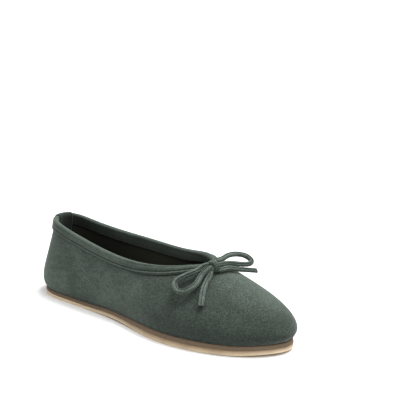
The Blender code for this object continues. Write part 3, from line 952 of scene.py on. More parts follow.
@dataclass(frozen=True)
class SoleEdge:
    """A layer's edge: pressed fibres in streaks along it, from its foot up to its brow."""

    name: str
    foot: Colour
    brow: Colour
    dark: Colour
    line: Colour
    streak: float
    roughness: float
    line_share: float = 0.0
    paler_at_heel: float = 0.0

    def material(self) -> Material:
        """Makes the edge's nodes.

        Returns:
            The material.
        """
        graph = Graph(self.name)
        _, rise = graph.chart("edge")
        streaks = graph.noise(graph.place((1.0, 1.0, 5.5)), 420.0, 3.0, 0.65)
        crumbs = graph.noise(graph.place(), 1150.0, 2.0, 0.7)
        wander = graph.noise(graph.place(), 90.0, 2.0, 0.5)
        # From the foot's colour up to the brow's; on the tan edge the pale foot is partly painted light.
        colour = graph.mix(rise + (wander - 0.5) * 0.5, self.foot, self.brow)
        # Paler towards the heel, mixing in the foot's colour.
        if self.paler_at_heel:
            along, _, _ = graph.here()
            colour = graph.mix((1.0 - along.step(-0.10, 0.02)) * self.paler_at_heel, colour, self.foot)
        marks = ((streaks - 0.5) * 1.6 + (crumbs - 0.5) * 1.1).step(0.02, 0.42)
        colour = graph.mix(marks * self.streak, colour, self.dark)
        if self.line_share:
            line = (rise + (crumbs - 0.5) * 0.12).step(self.line_share, self.line_share + 0.08)
            colour = graph.mix(line * 0.8, colour, self.line)
        normal = graph.bump(streaks * 0.7 + crumbs * 0.3, 0.5, 0.0003)
        return graph.finish(
            {"Base Color": colour, "Roughness": self.roughness, "Normal": normal, "Specular IOR Level": 0.3}
        )


@dataclass(frozen=True)
class Plain:
    """A plain surface, such as the floor."""

    name: str
    colour: Colour
    roughness: float

    def material(self) -> Material:
        """The surface's material."""
        inputs = {"Base Color": self.colour, "Roughness": self.roughness, "Specular IOR Level": 0.2}
        return Graph(self.name).finish(inputs)


class Slot(Enum):
    """The record's material slots."""

    UPPER = "upper_suede"
    BINDING = "binding_suede"
    TAB = "tab_suede"
    MIDSOLE = "midsole_board"
    OUTSOLE = "outsole_leather"
    INSOLE = "insole_lining"
    LACE = "lace_suede"


UPPER_SUEDE = Suede(
    "upper_suede", (0.019, 0.026, 0.021), (0.039, 0.051, 0.042), (0.066, 0.084, 0.070), painted_chart_light=PaintedChartLight.EDGE
)
BINDING_SUEDE = Suede(
    "binding_suede",
    (0.021, 0.028, 0.023),
    (0.035, 0.046, 0.038),
    (0.055, 0.070, 0.058),
    patch=75.0,
    painted_chart_light=PaintedChartLight.SEAM,
    # front_side, top and up_from set the binding's painted light: painted highlight on faces turned up,
    # painted shade on the sides.
    front_side=0.9,
    top=1.25,
    up_from=0.45,
)
# A darker copy of the suede: painted shade, for the tab that lies mostly inside the heel.
TAB_SUEDE = Suede(
    "tab_suede", (0.016, 0.021, 0.018), (0.027, 0.035, 0.030), (0.041, 0.052, 0.045), patch=75.0
)
LACE_SUEDE = Suede(
    "lace_suede",
    (0.026, 0.034, 0.028),
    (0.045, 0.057, 0.048),
    (0.070, 0.087, 0.074),
    patch=150.0,
    painted_chart_light=PaintedChartLight.GROOVE,
    # front_side, top and up_from set the lace's painted light: a strong painted highlight on its upper faces.
    front_side=0.88,
    top=1.60,
    up_from=0.15,
)
# Dark thread for the stitches; the heel tab's cut ends take it too, as painted shade.
THREAD_AND_EDGE_SHADE = Suede(
    "seam_thread", (0.011, 0.014, 0.012), (0.016, 0.020, 0.018), (0.022, 0.027, 0.024), sheen=0.1
)
LINING = Lining("dark_lining", (0.018, 0.018, 0.014), (0.030, 0.030, 0.023))
BROWN_EDGE = SoleEdge(
    "brown_edge",
    foot=(0.145, 0.104, 0.066),
    brow=(0.116, 0.083, 0.053),
    dark=(0.045, 0.030, 0.019),
    line=(0.29, 0.22, 0.15),
    streak=0.75,
    roughness=0.9,
)
# The tan edge's colour, darker brown at its brow and pale at its foot: partly the leather's own tan, partly
# painted light standing in for light thrown up from the floor.
TAN_EDGE = SoleEdge(
    "tan_edge",
    foot=(0.70, 0.57, 0.395),
    brow=(0.19, 0.116, 0.062),
    dark=(0.25, 0.16, 0.09),
    line=(0.24, 0.19, 0.13),
    streak=0.2,
    roughness=0.55,
    line_share=0.90,
    paler_at_heel=0.8,
)


class Cloth:
    """Meshes made from lattices of points."""

    @staticmethod
    def lattice(
        name: str,
        points: Array,
        closed: tuple[bool, bool],
        chart: tuple[str, Array] | None = None,
        capped: bool = False,
    ) -> Piece:
        """Joins a lattice with quads and turns its faces outwards.

        Args:
            name: The piece's name.
            points: Its points, rows by columns.
            closed: Whether its rows and its columns run round.
            chart: A UV map's name, and its values at each point.
            capped: Whether the two open ends of its rows are filled.

        Returns:
            The piece.
        """
        rows, columns = points.shape[:2]
        i = np.arange(rows if closed[0] else rows - 1)[:, None]
        j = np.arange(columns if closed[1] else columns - 1)[None, :]
        i1, j1 = (i + 1) % rows, (j + 1) % columns
        corners = [(i, j), (i1, j), (i1, j1), (i, j1)]
        faces = np.stack([(a * columns + b) + 0 * (i + j) for a, b in corners], axis=-1).reshape(-1, 4)
        mesh = bpy.data.meshes.new(name)
        mesh.from_pydata(points.reshape(-1, 3).tolist(), [], faces.tolist())
        if chart:
            values = chart[1]
            spread = np.stack([values[a + 0 * j, b + 0 * i] for a, b in corners], axis=2).reshape(-1, 2)
            mesh.uv_layers.new(name=chart[0]).data.foreach_set("uv", spread.astype(np.float32).ravel())
        work = bmesh.new()
        work.from_mesh(mesh)
        if capped:
            work.verts.ensure_lookup_table()
            for start in (0, (rows - 1) * columns):
                ring = [work.verts[start + k] for k in range(columns)]
                work.faces.new(ring if start else ring[::-1])
        bmesh.ops.remove_doubles(work, verts=work.verts[:], dist=1e-6)
        bmesh.ops.dissolve_degenerate(work, edges=work.edges[:], dist=1e-7)
        bmesh.ops.recalc_face_normals(work, faces=work.faces[:])
        if work.calc_volume(signed=True) < 0:
            bmesh.ops.reverse_faces(work, faces=work.faces[:])
        work.to_mesh(mesh)
        work.free()
        mesh.shade_smooth()
        return placed(name, mesh)

    @staticmethod
    def finish(piece: Piece, slot: Slot, materials: Sequence[Material], nodes: Sequence[str] = ()) -> Piece:
        """Dresses a piece and lets it ride and stand for its nodes.

        Args:
            piece: The piece.
            slot: Not used.
            materials: Its materials, in the order of its faces' numbers.
            nodes: The CAD nodes that it replaces.

        Returns:
            The piece.
        """
        for material in materials:
            piece.data.materials.append(material)
        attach(piece, BODY)
        if nodes:
            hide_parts(*nodes)
        LOG.info("%s: %d faces", piece.name, len(piece.data.polygons))
        return piece


@dataclass
class Upper:
    """The suede upper, drawn over the last, with its turned-in margin and its lining."""

    last: Last
    columns: int = 336
    rows: int = 52
    crown: float = 0.4
    pucker: float = 0.00016
    pucker_pitch: float = 0.0085
    pucker_height: float = 0.006
    swell: float = 0.00022
    swell_size: float = 0.026
    ripple_size: float = 0.009
    ripple_share: float = 0.35
    front_from: float = 0.010
    front_ease: float = 0.012
    fade_height: float = 0.0015
    bunching: float = 1.12
    lining_mark: float = 0.03

    def creased(self, at: Array, share: Array) -> Array:
        """The wall's outer face with its creases, puckers and swells.

        Args:
            at: Places, counted in stations.
            share: Shares of the way up.

        Returns:
            A lattice of points, places by shares.
        """
        points = self.last.wall(at, share)
        facing = self.last.facing(at, share)
        raised = self.swell * uneven(points, self.swell_size, 3.1)
        raised = raised + self.ripple_share * self.swell * uneven(points, self.ripple_size, 7.7)
        for crease in CREASES:
            LOG.debug("pressing %s", crease.name)
            raised = raised + self.crease(points, crease)
        around = travelled(self.last.sections(at).edge)[:, None]
        climb = np.linalg.norm(points - points[:, :1], axis=2)
        wander = 1.6 * uneven(points, 0.030, 11.0)
        puckers = np.sin(2 * math.pi * around / self.pucker_pitch + wander)
        front = 1 / (1 + np.exp(-(points[:, :, 0] - self.front_from) / self.front_ease))
        low = np.exp(-((climb / self.pucker_height) ** 2))
        raised = raised + self.pucker * puckers * low * (0.35 + 0.65 * front)
        fade = np.minimum(1.0, climb / self.fade_height) * np.ones_like(raised)
        return points + facing * (raised * fade)[:, :, None]

    def crease(self, points: Array, crease: Crease) -> Array:
        """How far one crease raises the wall.

        Args:
            points: The wall's points.
            crease: The crease.

        Returns:
            A height for each point.
        """
        places = np.array(crease.places)
        fine = spline(places, np.linspace(0.0, len(places) - 1.0, 40))
        line = np.array([self.last.wall(place[:1], place[1:])[0, 0] for place in fine])
        raised = np.zeros(points.shape[:2])
        reach = 3.2 * crease.width
        near = np.all((points > line.min(axis=0) - reach) & (points < line.max(axis=0) + reach), axis=2)
        away = np.linalg.norm(points[near][:, None, :] - line[None, :, :], axis=2)
        closest = away.argmin(axis=1)
        ends = np.sin(math.pi * (0.12 + 0.76 * closest / (len(line) - 1)))
        raised[near] = crease.height * ends * np.exp(-((away.min(axis=1) / crease.width) ** 2))
        return raised

    def build(self) -> Piece:
        """Makes the upper as one closed mesh.

        Returns:
            The upper.
        """
        size = self.last.sizes
        at = self.last.round_places(self.columns)
        share = np.linspace(0.0, 1.0, self.rows) ** self.bunching
        outer = self.creased(at, share)
        facing = self.last.facing(at, share)
        found = self.last.sections(at)
        crown = outer[:, -1:] - facing[:, -1:] * size.wall / 2 + np.array([0.0, 0.0, self.crown * size.wall])
        inner = (outer - facing * size.wall)[:, ::-1]
        high = inner[:, :, 2] > (found.edge[:, 2] + 2.2 * size.wall)[:, None]
        keep = int(np.all(high, axis=0).sum())
        insets = np.array([size.wall * 1.3, size.wall * 2.4, size.margin * 0.7, size.margin])
        top = [self.last.ring(at, -inset, self.last.upper_under) for inset in insets]
        lift = np.array([0.0, 0.0, size.wall])
        margin_top = np.stack([ring + lift for ring in top], axis=1)
        margin_under = np.stack(top[::-1], axis=1)
        points = np.concatenate([outer, crown, inner[:, :keep], margin_top, margin_under], axis=1)
        climb = np.linalg.norm(np.diff(outer, axis=1), axis=2)
        low = np.concatenate([np.zeros((len(at), 1)), np.cumsum(climb, axis=1)], axis=1)
        deep = low[:, -1:] - low
        rest = points.shape[1] - self.rows
        low = np.concatenate([low, np.full((len(at), rest), self.lining_mark)], axis=1)
        deep = np.concatenate([deep, np.zeros((len(at), rest))], axis=1)
        made = Cloth.lattice("suede_upper", points, (True, True), ("reach", np.stack([low, deep], axis=2)))
        self.line(made)
        return Cloth.finish(made, Slot.UPPER, [UPPER_SUEDE.material(), LINING.material()], ["upper"])

    def line(self, made: Piece) -> None:
        """Gives the faces that face the foot the lining's number.

        Args:
            made: The upper.
        """
        chart = made.data.uv_layers["reach"].data
        for face in made.data.polygons:
            values = [chart[k].uv for k in face.loop_indices]
            inside = (abs(low - self.lining_mark) < 1e-6 and deep == 0.0 for low, deep in values)
            face.material_index = int(all(inside))


@dataclass
class Binding:
    """A strip folded over the rim: an outside leg, a roll above it and a leg inside."""

    last: Last
    columns: int = 620
    puff: float = 0.0007
    ridge: float = 0.00028
    groove: float = 0.00034
    groove_width: float = 0.00032
    gather: float = 0.00022
    gather_pitch: float = 0.0042
    throat_reach: float = 0.026
    throat_narrowing: float = 0.14
    heel_reach: float = 0.030
    roll_width: float = 0.0036
    fuzz: float = 0.00012
    cushion: float = 0.0003
    crest_puff: float = 0.0002
    flat_gathers: float = 0.12
    flat_puffs: float = 0.25
    behind: float = 0.05

    def places(self) -> tuple[Array, Array]:
        """Spreads places along the rim, from one side of the heel's tab to the other.

        Returns:
            The places, and how near each is to the throat, from 0 to 1.
        """
        start = self.last.sizes.tab_half + self.last.sizes.gap
        at = self.last.rim_places(start, -start, self.columns)
        rim = self.last.sections(at).rim
        throat = self.last.sections(np.array([THROAT])).rim[0]
        return at, np.exp(-((np.linalg.norm(rim - throat, axis=1) / self.throat_reach) ** 2))

    def chart(self, at: Array, outer: Array, columns: int) -> Array:
        """Distances across the strip from its outside edge, and how far from the heel, from 0 to 1.

        Args:
            at: Places along the rim.
            outer: Distances from the outside edge over the outside leg.
            columns: How many columns the strip has.

        Returns:
            Both for each place and column.
        """
        size = self.last.sizes
        roll = size.binding_outside + np.linspace(0.0, self.roll_width, ROLL_STEPS)
        across = np.concatenate([outer, roll, roll[-1] + size.binding_inside * INSIDE_LEG])
        across = np.concatenate([across, np.full(columns - len(across), self.behind)])
        return np.stack(np.broadcast_arrays(across[None, :], self.from_heel(at)[:, None]), axis=2)

    def from_heel(self, at: Array) -> Array:
        """How far places are from the heel's tab.

        Args:
            at: Places along the rim.

        Returns:
            A number for each, from 0 beside the tab to 1.
        """
        rim = self.last.sections(at).rim
        far = np.clip((rim[:, 0] - rim[:, 0].min()) / self.heel_reach, 0, 1)
        return far**2 * (3 - 2 * far)

    def raised(self, depth: Array) -> Array:
        """How far the outside leg's face puffs out.

        Args:
            depth: Depths below the rim.

        Returns:
            A height for each depth.
        """
        size = self.last.sizes
        seam = size.seam_depth
        above = self.puff * np.sin(math.pi * np.clip(depth / seam, 0, 1)) ** 0.8
        below = self.ridge * np.sin(math.pi * np.clip((depth - seam) / (size.binding_outside - seam), 0, 1))
        groove = self.groove * np.exp(-(((depth - seam) / self.groove_width) ** 2))
        return np.where(depth < seam, above, below) - groove

    def build(self) -> list[Piece]:
        """Makes the binding and its stitches.

        Returns:
            The binding, then the stitches.
        """
        size, last = self.last.sizes, self.last
        at, near = self.places()
        off = size.gap + size.binding
        seam = size.seam_depth
        depths = np.concatenate([seam + BELOW_SEAM * (size.binding_outside - seam), ABOVE_SEAM * seam])
        shrink = (1 - self.throat_narrowing * near)[:, None]
        outer = last.below_rim(at, depths[None, :] * shrink)
        crest = last.below_rim(at, np.array([0.0]))
        inner = last.below_rim(at, size.binding_inside * INSIDE_LEG)
        run = travelled(crest.points[:, 0])[:, None]
        ripple = np.sin(2 * math.pi * run / self.gather_pitch + 2.2 * uneven(crest.points, 0.012, 5.0))
        gathers = self.gather * ripple * (self.flat_gathers + (1 - self.flat_gathers) * near[:, None])
        heel = self.flat_puffs + (1 - self.flat_puffs) * self.from_heel(at)[:, None]
        stand = off + self.raised(depths)[None, :] * heel + self.fuzz * uneven(outer.points, 0.007, 2.0)
        stand = stand + gathers * np.clip(np.sin(math.pi * depths / size.binding_outside), 0, 1)[None, :]
        over = np.array([[off + self.crest_puff]])
        cushion = self.cushion * np.sin(math.pi * INSIDE_LEG)[None, :]
        outsets = (stand, over, size.binding_rise + gathers * 0.8, size.wall + off + cushion)
        line = last.folded((outer, crest, inner), outsets)
        chart = self.chart(at, size.binding_outside - depths, line.shape[1])
        made = Cloth.lattice("topline_roll", line, (False, True), ("strip", chart), capped=True)
        strip = Cloth.finish(made, Slot.BINDING, [BINDING_SUEDE.material()], ["topline_binding"])
        guide = last.below_rim(at, seam * shrink)
        low = off + self.raised(np.array([seam]))[0] + 0.0001
        stitches = Stitches("topline_stitches", guide.points + guide.outwards * low, guide.outwards)
        return [strip, stitches.build(Slot.BINDING)]


@dataclass
class HeelTab:
    """The tab folded over the back of the rim, whose inside leg is a heel grip."""

    last: Last
    columns: int = 65
    edge_round: float = 0.0012
    foot_round: float = 0.0045
    pressed: float = 0.0005
    thin_edge: float = 0.45
    thin_foot: float = 0.35
    stitch_rows: tuple[tuple[str, int], ...] = (("outer", 4), ("inner", -5))
    stitched: int = 30

    def build(self) -> list[Piece]:
        """Makes the tab and the stitches along its edge.

        Returns:
            The tab, then the stitches.
        """
        size, last = self.last.sizes, self.last
        at = last.rim_places(-size.tab_half, size.tab_half, self.columns)
        aside = np.linspace(-1.0, 1.0, self.columns)
        across = np.abs(aside) * size.tab_half
        deep = size.tab_side + (size.tab_inside - size.tab_side) * np.sqrt(1 - aside**2)
        thick = size.binding + size.tab_extra
        outside = np.linspace(1.0, 0.06, 12) * size.binding_outside
        outer = last.below_rim(at, outside)
        inner = last.below_rim(at, np.linspace(0.03, 1.0, 34)[None, :] * deep[:, None])
        crest = last.below_rim(at, np.array([0.0]))
        edge = np.clip((size.tab_half - across) / self.edge_round, 0, 1)[:, None] ** 0.5
        soft = thick * (self.thin_edge + (1 - self.thin_edge) * edge)
        thinned = np.clip((size.binding_outside - outside) / self.foot_round, 0, 1)[None, :] ** 0.6
        stand = size.gap + (soft - self.pressed) * (self.thin_foot + (1 - self.thin_foot) * thinned)
        rise = size.binding_rise - size.binding + soft
        line = last.folded((outer, crest, inner), (stand, size.gap + soft, rise, size.wall + size.gap + soft))
        made = Cloth.lattice("heel_grip_tab", line, (False, True), capped=True)
        # The tab's capped cut ends take the dark thread: painted shade along its cut edges.
        for face in made.data.polygons:
            face.material_index = int(len(face.vertices) > 4)
        pieces = [Cloth.finish(made, Slot.TAB, [TAB_SUEDE.material(), THREAD_AND_EDGE_SHADE.material()], ["heel_tab"])]
        for word, side in self.stitch_rows:
            facing = inner.outwards[side][: self.stitched]
            leg = inner.points[side][: self.stitched] - facing * (size.wall + size.gap + thick + 0.00005)
            pieces.append(Stitches(f"tab_stitches_{word}", leg, -facing).build(Slot.TAB))
        return pieces


@dataclass
class Stitches:
    """A row of thread stitches along a guide line."""

    name: str
    guide: Array
    facing: Array
    pitch: float = 0.0026
    length: float = 0.0019
    thickness: float = 0.00042

    def build(self, slot: Slot) -> Piece:
        """Makes the stitches as one mesh.

        Args:
            slot: Passed on to Cloth.finish, which does not use it.

        Returns:
            The stitches.
        """
        points = self.guide.reshape(-1, 3)
        mesh = bpy.data.meshes.new(self.name)
        mesh.from_pydata(points.tolist(), [(k, k + 1) for k in range(len(points) - 1)], [])
        facing = mesh.attributes.new("facing", "FLOAT_VECTOR", "POINT")
        facing.data.foreach_set("vector", self.facing.reshape(-1, 3).astype(np.float32).ravel())
        holder = placed(f"{self.name}_guide", mesh)
        thread = THREAD_AND_EDGE_SHADE.material()
        tree = self.tree()
        row = holder.modifiers.new("Stitches", "NODES")
        row.node_group = tree
        values = {"Pitch": self.pitch, "Length": self.length, "Thickness": self.thickness, "Thread": thread}
        for item in tree.interface.items_tree:
            if item.name in values:
                row[item.identifier] = values[item.name]
        graph = bpy.context.evaluated_depsgraph_get()
        finished = bpy.data.meshes.new_from_object(holder.evaluated_get(graph))
        holder.modifiers.clear()
        bpy.data.objects.remove(holder)
        finished.materials.clear()
        return Cloth.finish(placed(self.name, finished), slot, [thread])

    def tree(self) -> bpy.types.NodeTree:
        """Makes the nodes that lay a stitch at each pitch of the guide.

        Returns:
            The node tree.
        """
        tree = bpy.data.node_groups.new(f"{self.name}_nodes", "GeometryNodeTree")
        sizes = {"Pitch": "Float", "Length": "Float", "Thickness": "Float", "Thread": "Material"}
        for name, kind in ({"Guide": "Geometry"} | sizes).items():
            tree.interface.new_socket(name, in_out="INPUT", socket_type=f"NodeSocket{kind}")
        tree.interface.new_socket("Stitches", in_out="OUTPUT", socket_type="NodeSocketGeometry")
        given = tree.nodes.new("NodeGroupInput").outputs

        def add(
            kind: str, inputs: dict, settings: dict | None = None, output: int = 0
        ) -> bpy.types.NodeSocket:
            """Adds a node.

            Args:
                kind: The node's type.
                inputs: Values or links for its sockets, by number or name.
                settings: Its settings.
                output: Which output is wanted.

            Returns:
                That output.
            """
            node = tree.nodes.new(kind)
            for key, value in (settings or {}).items():
                setattr(node, key, value)
            for key, value in inputs.items():
                if isinstance(value, bpy.types.NodeSocket):
                    tree.links.new(value, node.inputs[key])
                else:
                    node.inputs[key].default_value = value
            return node.outputs[output] if node.outputs else node.inputs[0]

        line = add("GeometryNodeMeshToCurve", {"Mesh": given["Guide"]})
        inputs = {"Curve": line, "Length": given["Pitch"]}
        spaced = add("GeometryNodeResampleCurve", inputs, {"mode": "LENGTH"})
        facing = add("GeometryNodeInputNamedAttribute", {"Name": "facing"}, {"data_type": "FLOAT_VECTOR"})
        turn = add(
            "FunctionNodeAxesToRotation",
            {0: add("GeometryNodeInputTangent", {}), 1: facing},
            {"primary_axis": "X", "secondary_axis": "Z"},
        )
        bead = add("GeometryNodeMeshUVSphere", {"Segments": 8, "Rings": 6, "Radius": 0.5})
        size = add("ShaderNodeCombineXYZ", {0: given["Length"], 1: given["Thickness"], 2: given["Thickness"]})
        shaped = add("GeometryNodeTransform", {"Geometry": bead, "Scale": size})
        spread = {"Min": 0.88, "Max": 1.08, "Seed": 4}
        varied = add("FunctionNodeRandomValue", spread, {"data_type": "FLOAT"}, 1)
        inputs = {"Points": spaced, "Instance": shaped, "Rotation": turn, "Scale": varied}
        real = add("GeometryNodeRealizeInstances", {"Geometry": add("GeometryNodeInstanceOnPoints", inputs)})
        dressed = add("GeometryNodeSetMaterial", {"Geometry": real, "Material": given["Thread"]})
        add("NodeGroupOutput", {0: dressed})
        return tree


@dataclass
class Sole:
    """The brown midsole, the tan outsole and the insole."""

    last: Last
    columns: int = 360
    strips: int = 12
    fuzz: float = 0.00007
    dish: float = 0.0005
    dish_reach: float = 0.010

    def layer(
        self,
        name: str,
        profile: Sequence[tuple[float, float]],
        under: Callable[[Array], Array],
        over: Callable[[Array], Array],
        dish: float,
    ) -> Piece:
        """A layer of the sole.

        Args:
            name: The piece's name.
            profile: Its edge's outset and share of the thickness, from its foot to its brow.
            under: Height of its underside.
            over: Height of its upper face.
            dish: How far its upper face's middle sinks.

        Returns:
            The layer.
        """
        at = self.last.round_places(self.columns)
        outwards = self.last.sections(at).outwards
        rings = []
        for outset, share in profile:
            ring = self.last.ring(at, outset, lambda x: (1 - share) * under(x) + share * over(x))
            rough = self.fuzz * uneven(ring, 0.0035, 9.0) * min(1.0, 4 * share * (1.2 - share))
            rings.append(ring + outwards * rough[:, None])
        half = self.columns // 2
        caps = []
        for ring, depth in ((rings[0], 0.0), (rings[-1], dish)):
            outer, inner = ring[: half + 1], ring[-np.arange(half + 1)]
            wide = np.linalg.norm(outer - inner, axis=1)
            across = np.linspace(0.0, 1.0, self.strips + 1)[None, :, None]
            grid = outer[:, None] * (1 - across) + inner[:, None] * across
            sink = np.minimum(across, 1 - across)[:, :, 0] * wide[:, None] / self.dish_reach
            sink = np.clip(sink, 0, 1)
            grid[:, :, 2] -= depth * sink * sink * (3 - 2 * sink)
            caps.append(grid)
        stack = np.stack(rings, axis=1)
        shares = np.array([share for _, share in profile])
        chart = np.stack(np.broadcast_arrays(travelled(stack[:, 0])[:, None], shares[None, :]), axis=2)
        side = Cloth.lattice(name, stack, (True, False), ("edge", chart))
        work = bmesh.new()
        work.from_mesh(side.data)
        chart_layer = work.loops.layers.uv["edge"]
        for grid, value in zip(caps, (0.0, 1.0)):
            verts = [[work.verts.new(point) for point in row] for row in grid]
            for i in range(half):
                for j in range(self.strips):
                    near, far = verts[i][j : j + 2], verts[i + 1][j : j + 2]
                    face = work.faces.new((near[0], far[0], far[1], near[1]))
                    face.smooth = True
                    for loop in face.loops:
                        loop[chart_layer].uv = (0.0, value)
        bmesh.ops.remove_doubles(work, verts=work.verts[:], dist=2e-6)
        bmesh.ops.dissolve_degenerate(work, edges=work.edges[:], dist=1e-7)
        bmesh.ops.recalc_face_normals(work, faces=work.faces[:])
        work.to_mesh(side.data)
        work.free()
        side.data.set_sharp_from_angle(angle=math.radians(48))
        return side

    def build(self) -> list[Piece]:
        """Makes the three layers.

        Returns:
            The outsole, the midsole and the insole.
        """
        size, last = self.last.sizes, self.last
        side = size.overhang + size.ledge
        inset = size.wall + 2 * size.gap
        tan = [(side + size.bevel * out, share) for out, share in TAN_PROFILE]
        brown = [(size.overhang * out, share) for out, share in BROWN_PROFILE]
        pad = [(out - inset, share) for out, share in PAD_PROFILE]
        made = [
            self.layer("tan_outsole", tan, last.tread_under, last.tread_top, 0.0),
            self.layer("brown_midsole", brown, last.midsole_under, last.midsole_top, 0.0),
            self.layer("insole_sock", pad, last.insole_under, last.insole_top, self.dish),
        ]
        looks = (
            (Slot.OUTSOLE, TAN_EDGE, "outsole"),
            (Slot.MIDSOLE, BROWN_EDGE, "midsole"),
            (Slot.INSOLE, LINING, "insole"),
        )
        for piece, (slot, finish, node) in zip(made, looks):
            Cloth.finish(piece, slot, [finish.material()], [node])
        return made


class Ground:
    """What the lace lies on: the outsides of some pieces."""

    CLOSE = 1e-6

    def __init__(self, pieces: Sequence[Piece]) -> None:
        """Reads the pieces as they stand in the scene.

        Args:
            pieces: The pieces that the lace may lie on.
        """
        bpy.context.view_layer.update()
        graph = bpy.context.evaluated_depsgraph_get()
        self.trees = [BVHTree.FromObject(piece, graph) for piece in pieces]

    def spare(self, point: Vector) -> float:
        """The distance from a point to the nearest piece.

        Args:
            point: The point.

        Returns:
            The distance, negative within a piece.
        """
        found = []
        for tree in self.trees:
            place, normal, _, distance = tree.find_nearest(point)
            found.append(math.copysign(distance, (point - place).dot(normal)))
        return min(found)

    def rise(self, point: Array, clearance: float) -> float:
        """How far a point must rise to stand clear of the pieces.

        Args:
            point: The point.
            clearance: How clear.

        Returns:
            The rise.
        """
        risen = 0.0
        for _ in range(20):
            lack = clearance - self.spare(Vector(point) + Vector((0.0, 0.0, risen)))
            if lack < self.CLOSE:
                break
            risen += lack
        return risen

    def fall(self, points: Array, clearance: float) -> float:
        """How far points above the pieces can sink together.

        Args:
            points: The points.
            clearance: The distance that they keep from the pieces.

        Returns:
            The fall.
        """
        fallen = 0.0
        for _ in range(200):
            here = [Vector(point) - Vector((0.0, 0.0, fallen)) for point in points]
            spare = min(tree.find_nearest(point)[3] for tree in self.trees for point in here) - clearance
            if spare < self.CLOSE:
                break
            fallen += spare
        return fallen


@dataclass(frozen=True)
class Strip:
    """A lace's cross-section: a strip folded on itself, with grooves between its layers."""

    wide: float
    thick: float
    grooves: tuple[float, ...]
    depth: float = 0.00060
    spread: float = 0.085
    corners: int = 64

    def outline(self) -> Array:
        """Points round the section.

        Returns:
            For each, how far across the layers, how far towards the grooved face, and how deep in
            a groove from 0 to 1.
        """
        angle = np.linspace(0.0, 2 * math.pi, self.corners, endpoint=False)
        across = np.sign(np.cos(angle)) * np.abs(np.cos(angle)) ** 0.9 * self.wide / 2
        facing = np.sign(np.sin(angle)) * np.abs(np.sin(angle)) ** 0.9 * self.thick / 2
        deep = sum(np.exp(-(((across / self.wide - place) / self.spread) ** 2)) for place in self.grooves)
        return np.column_stack([across, facing - np.sign(facing) * self.depth * deep, np.minimum(deep, 1.0)])


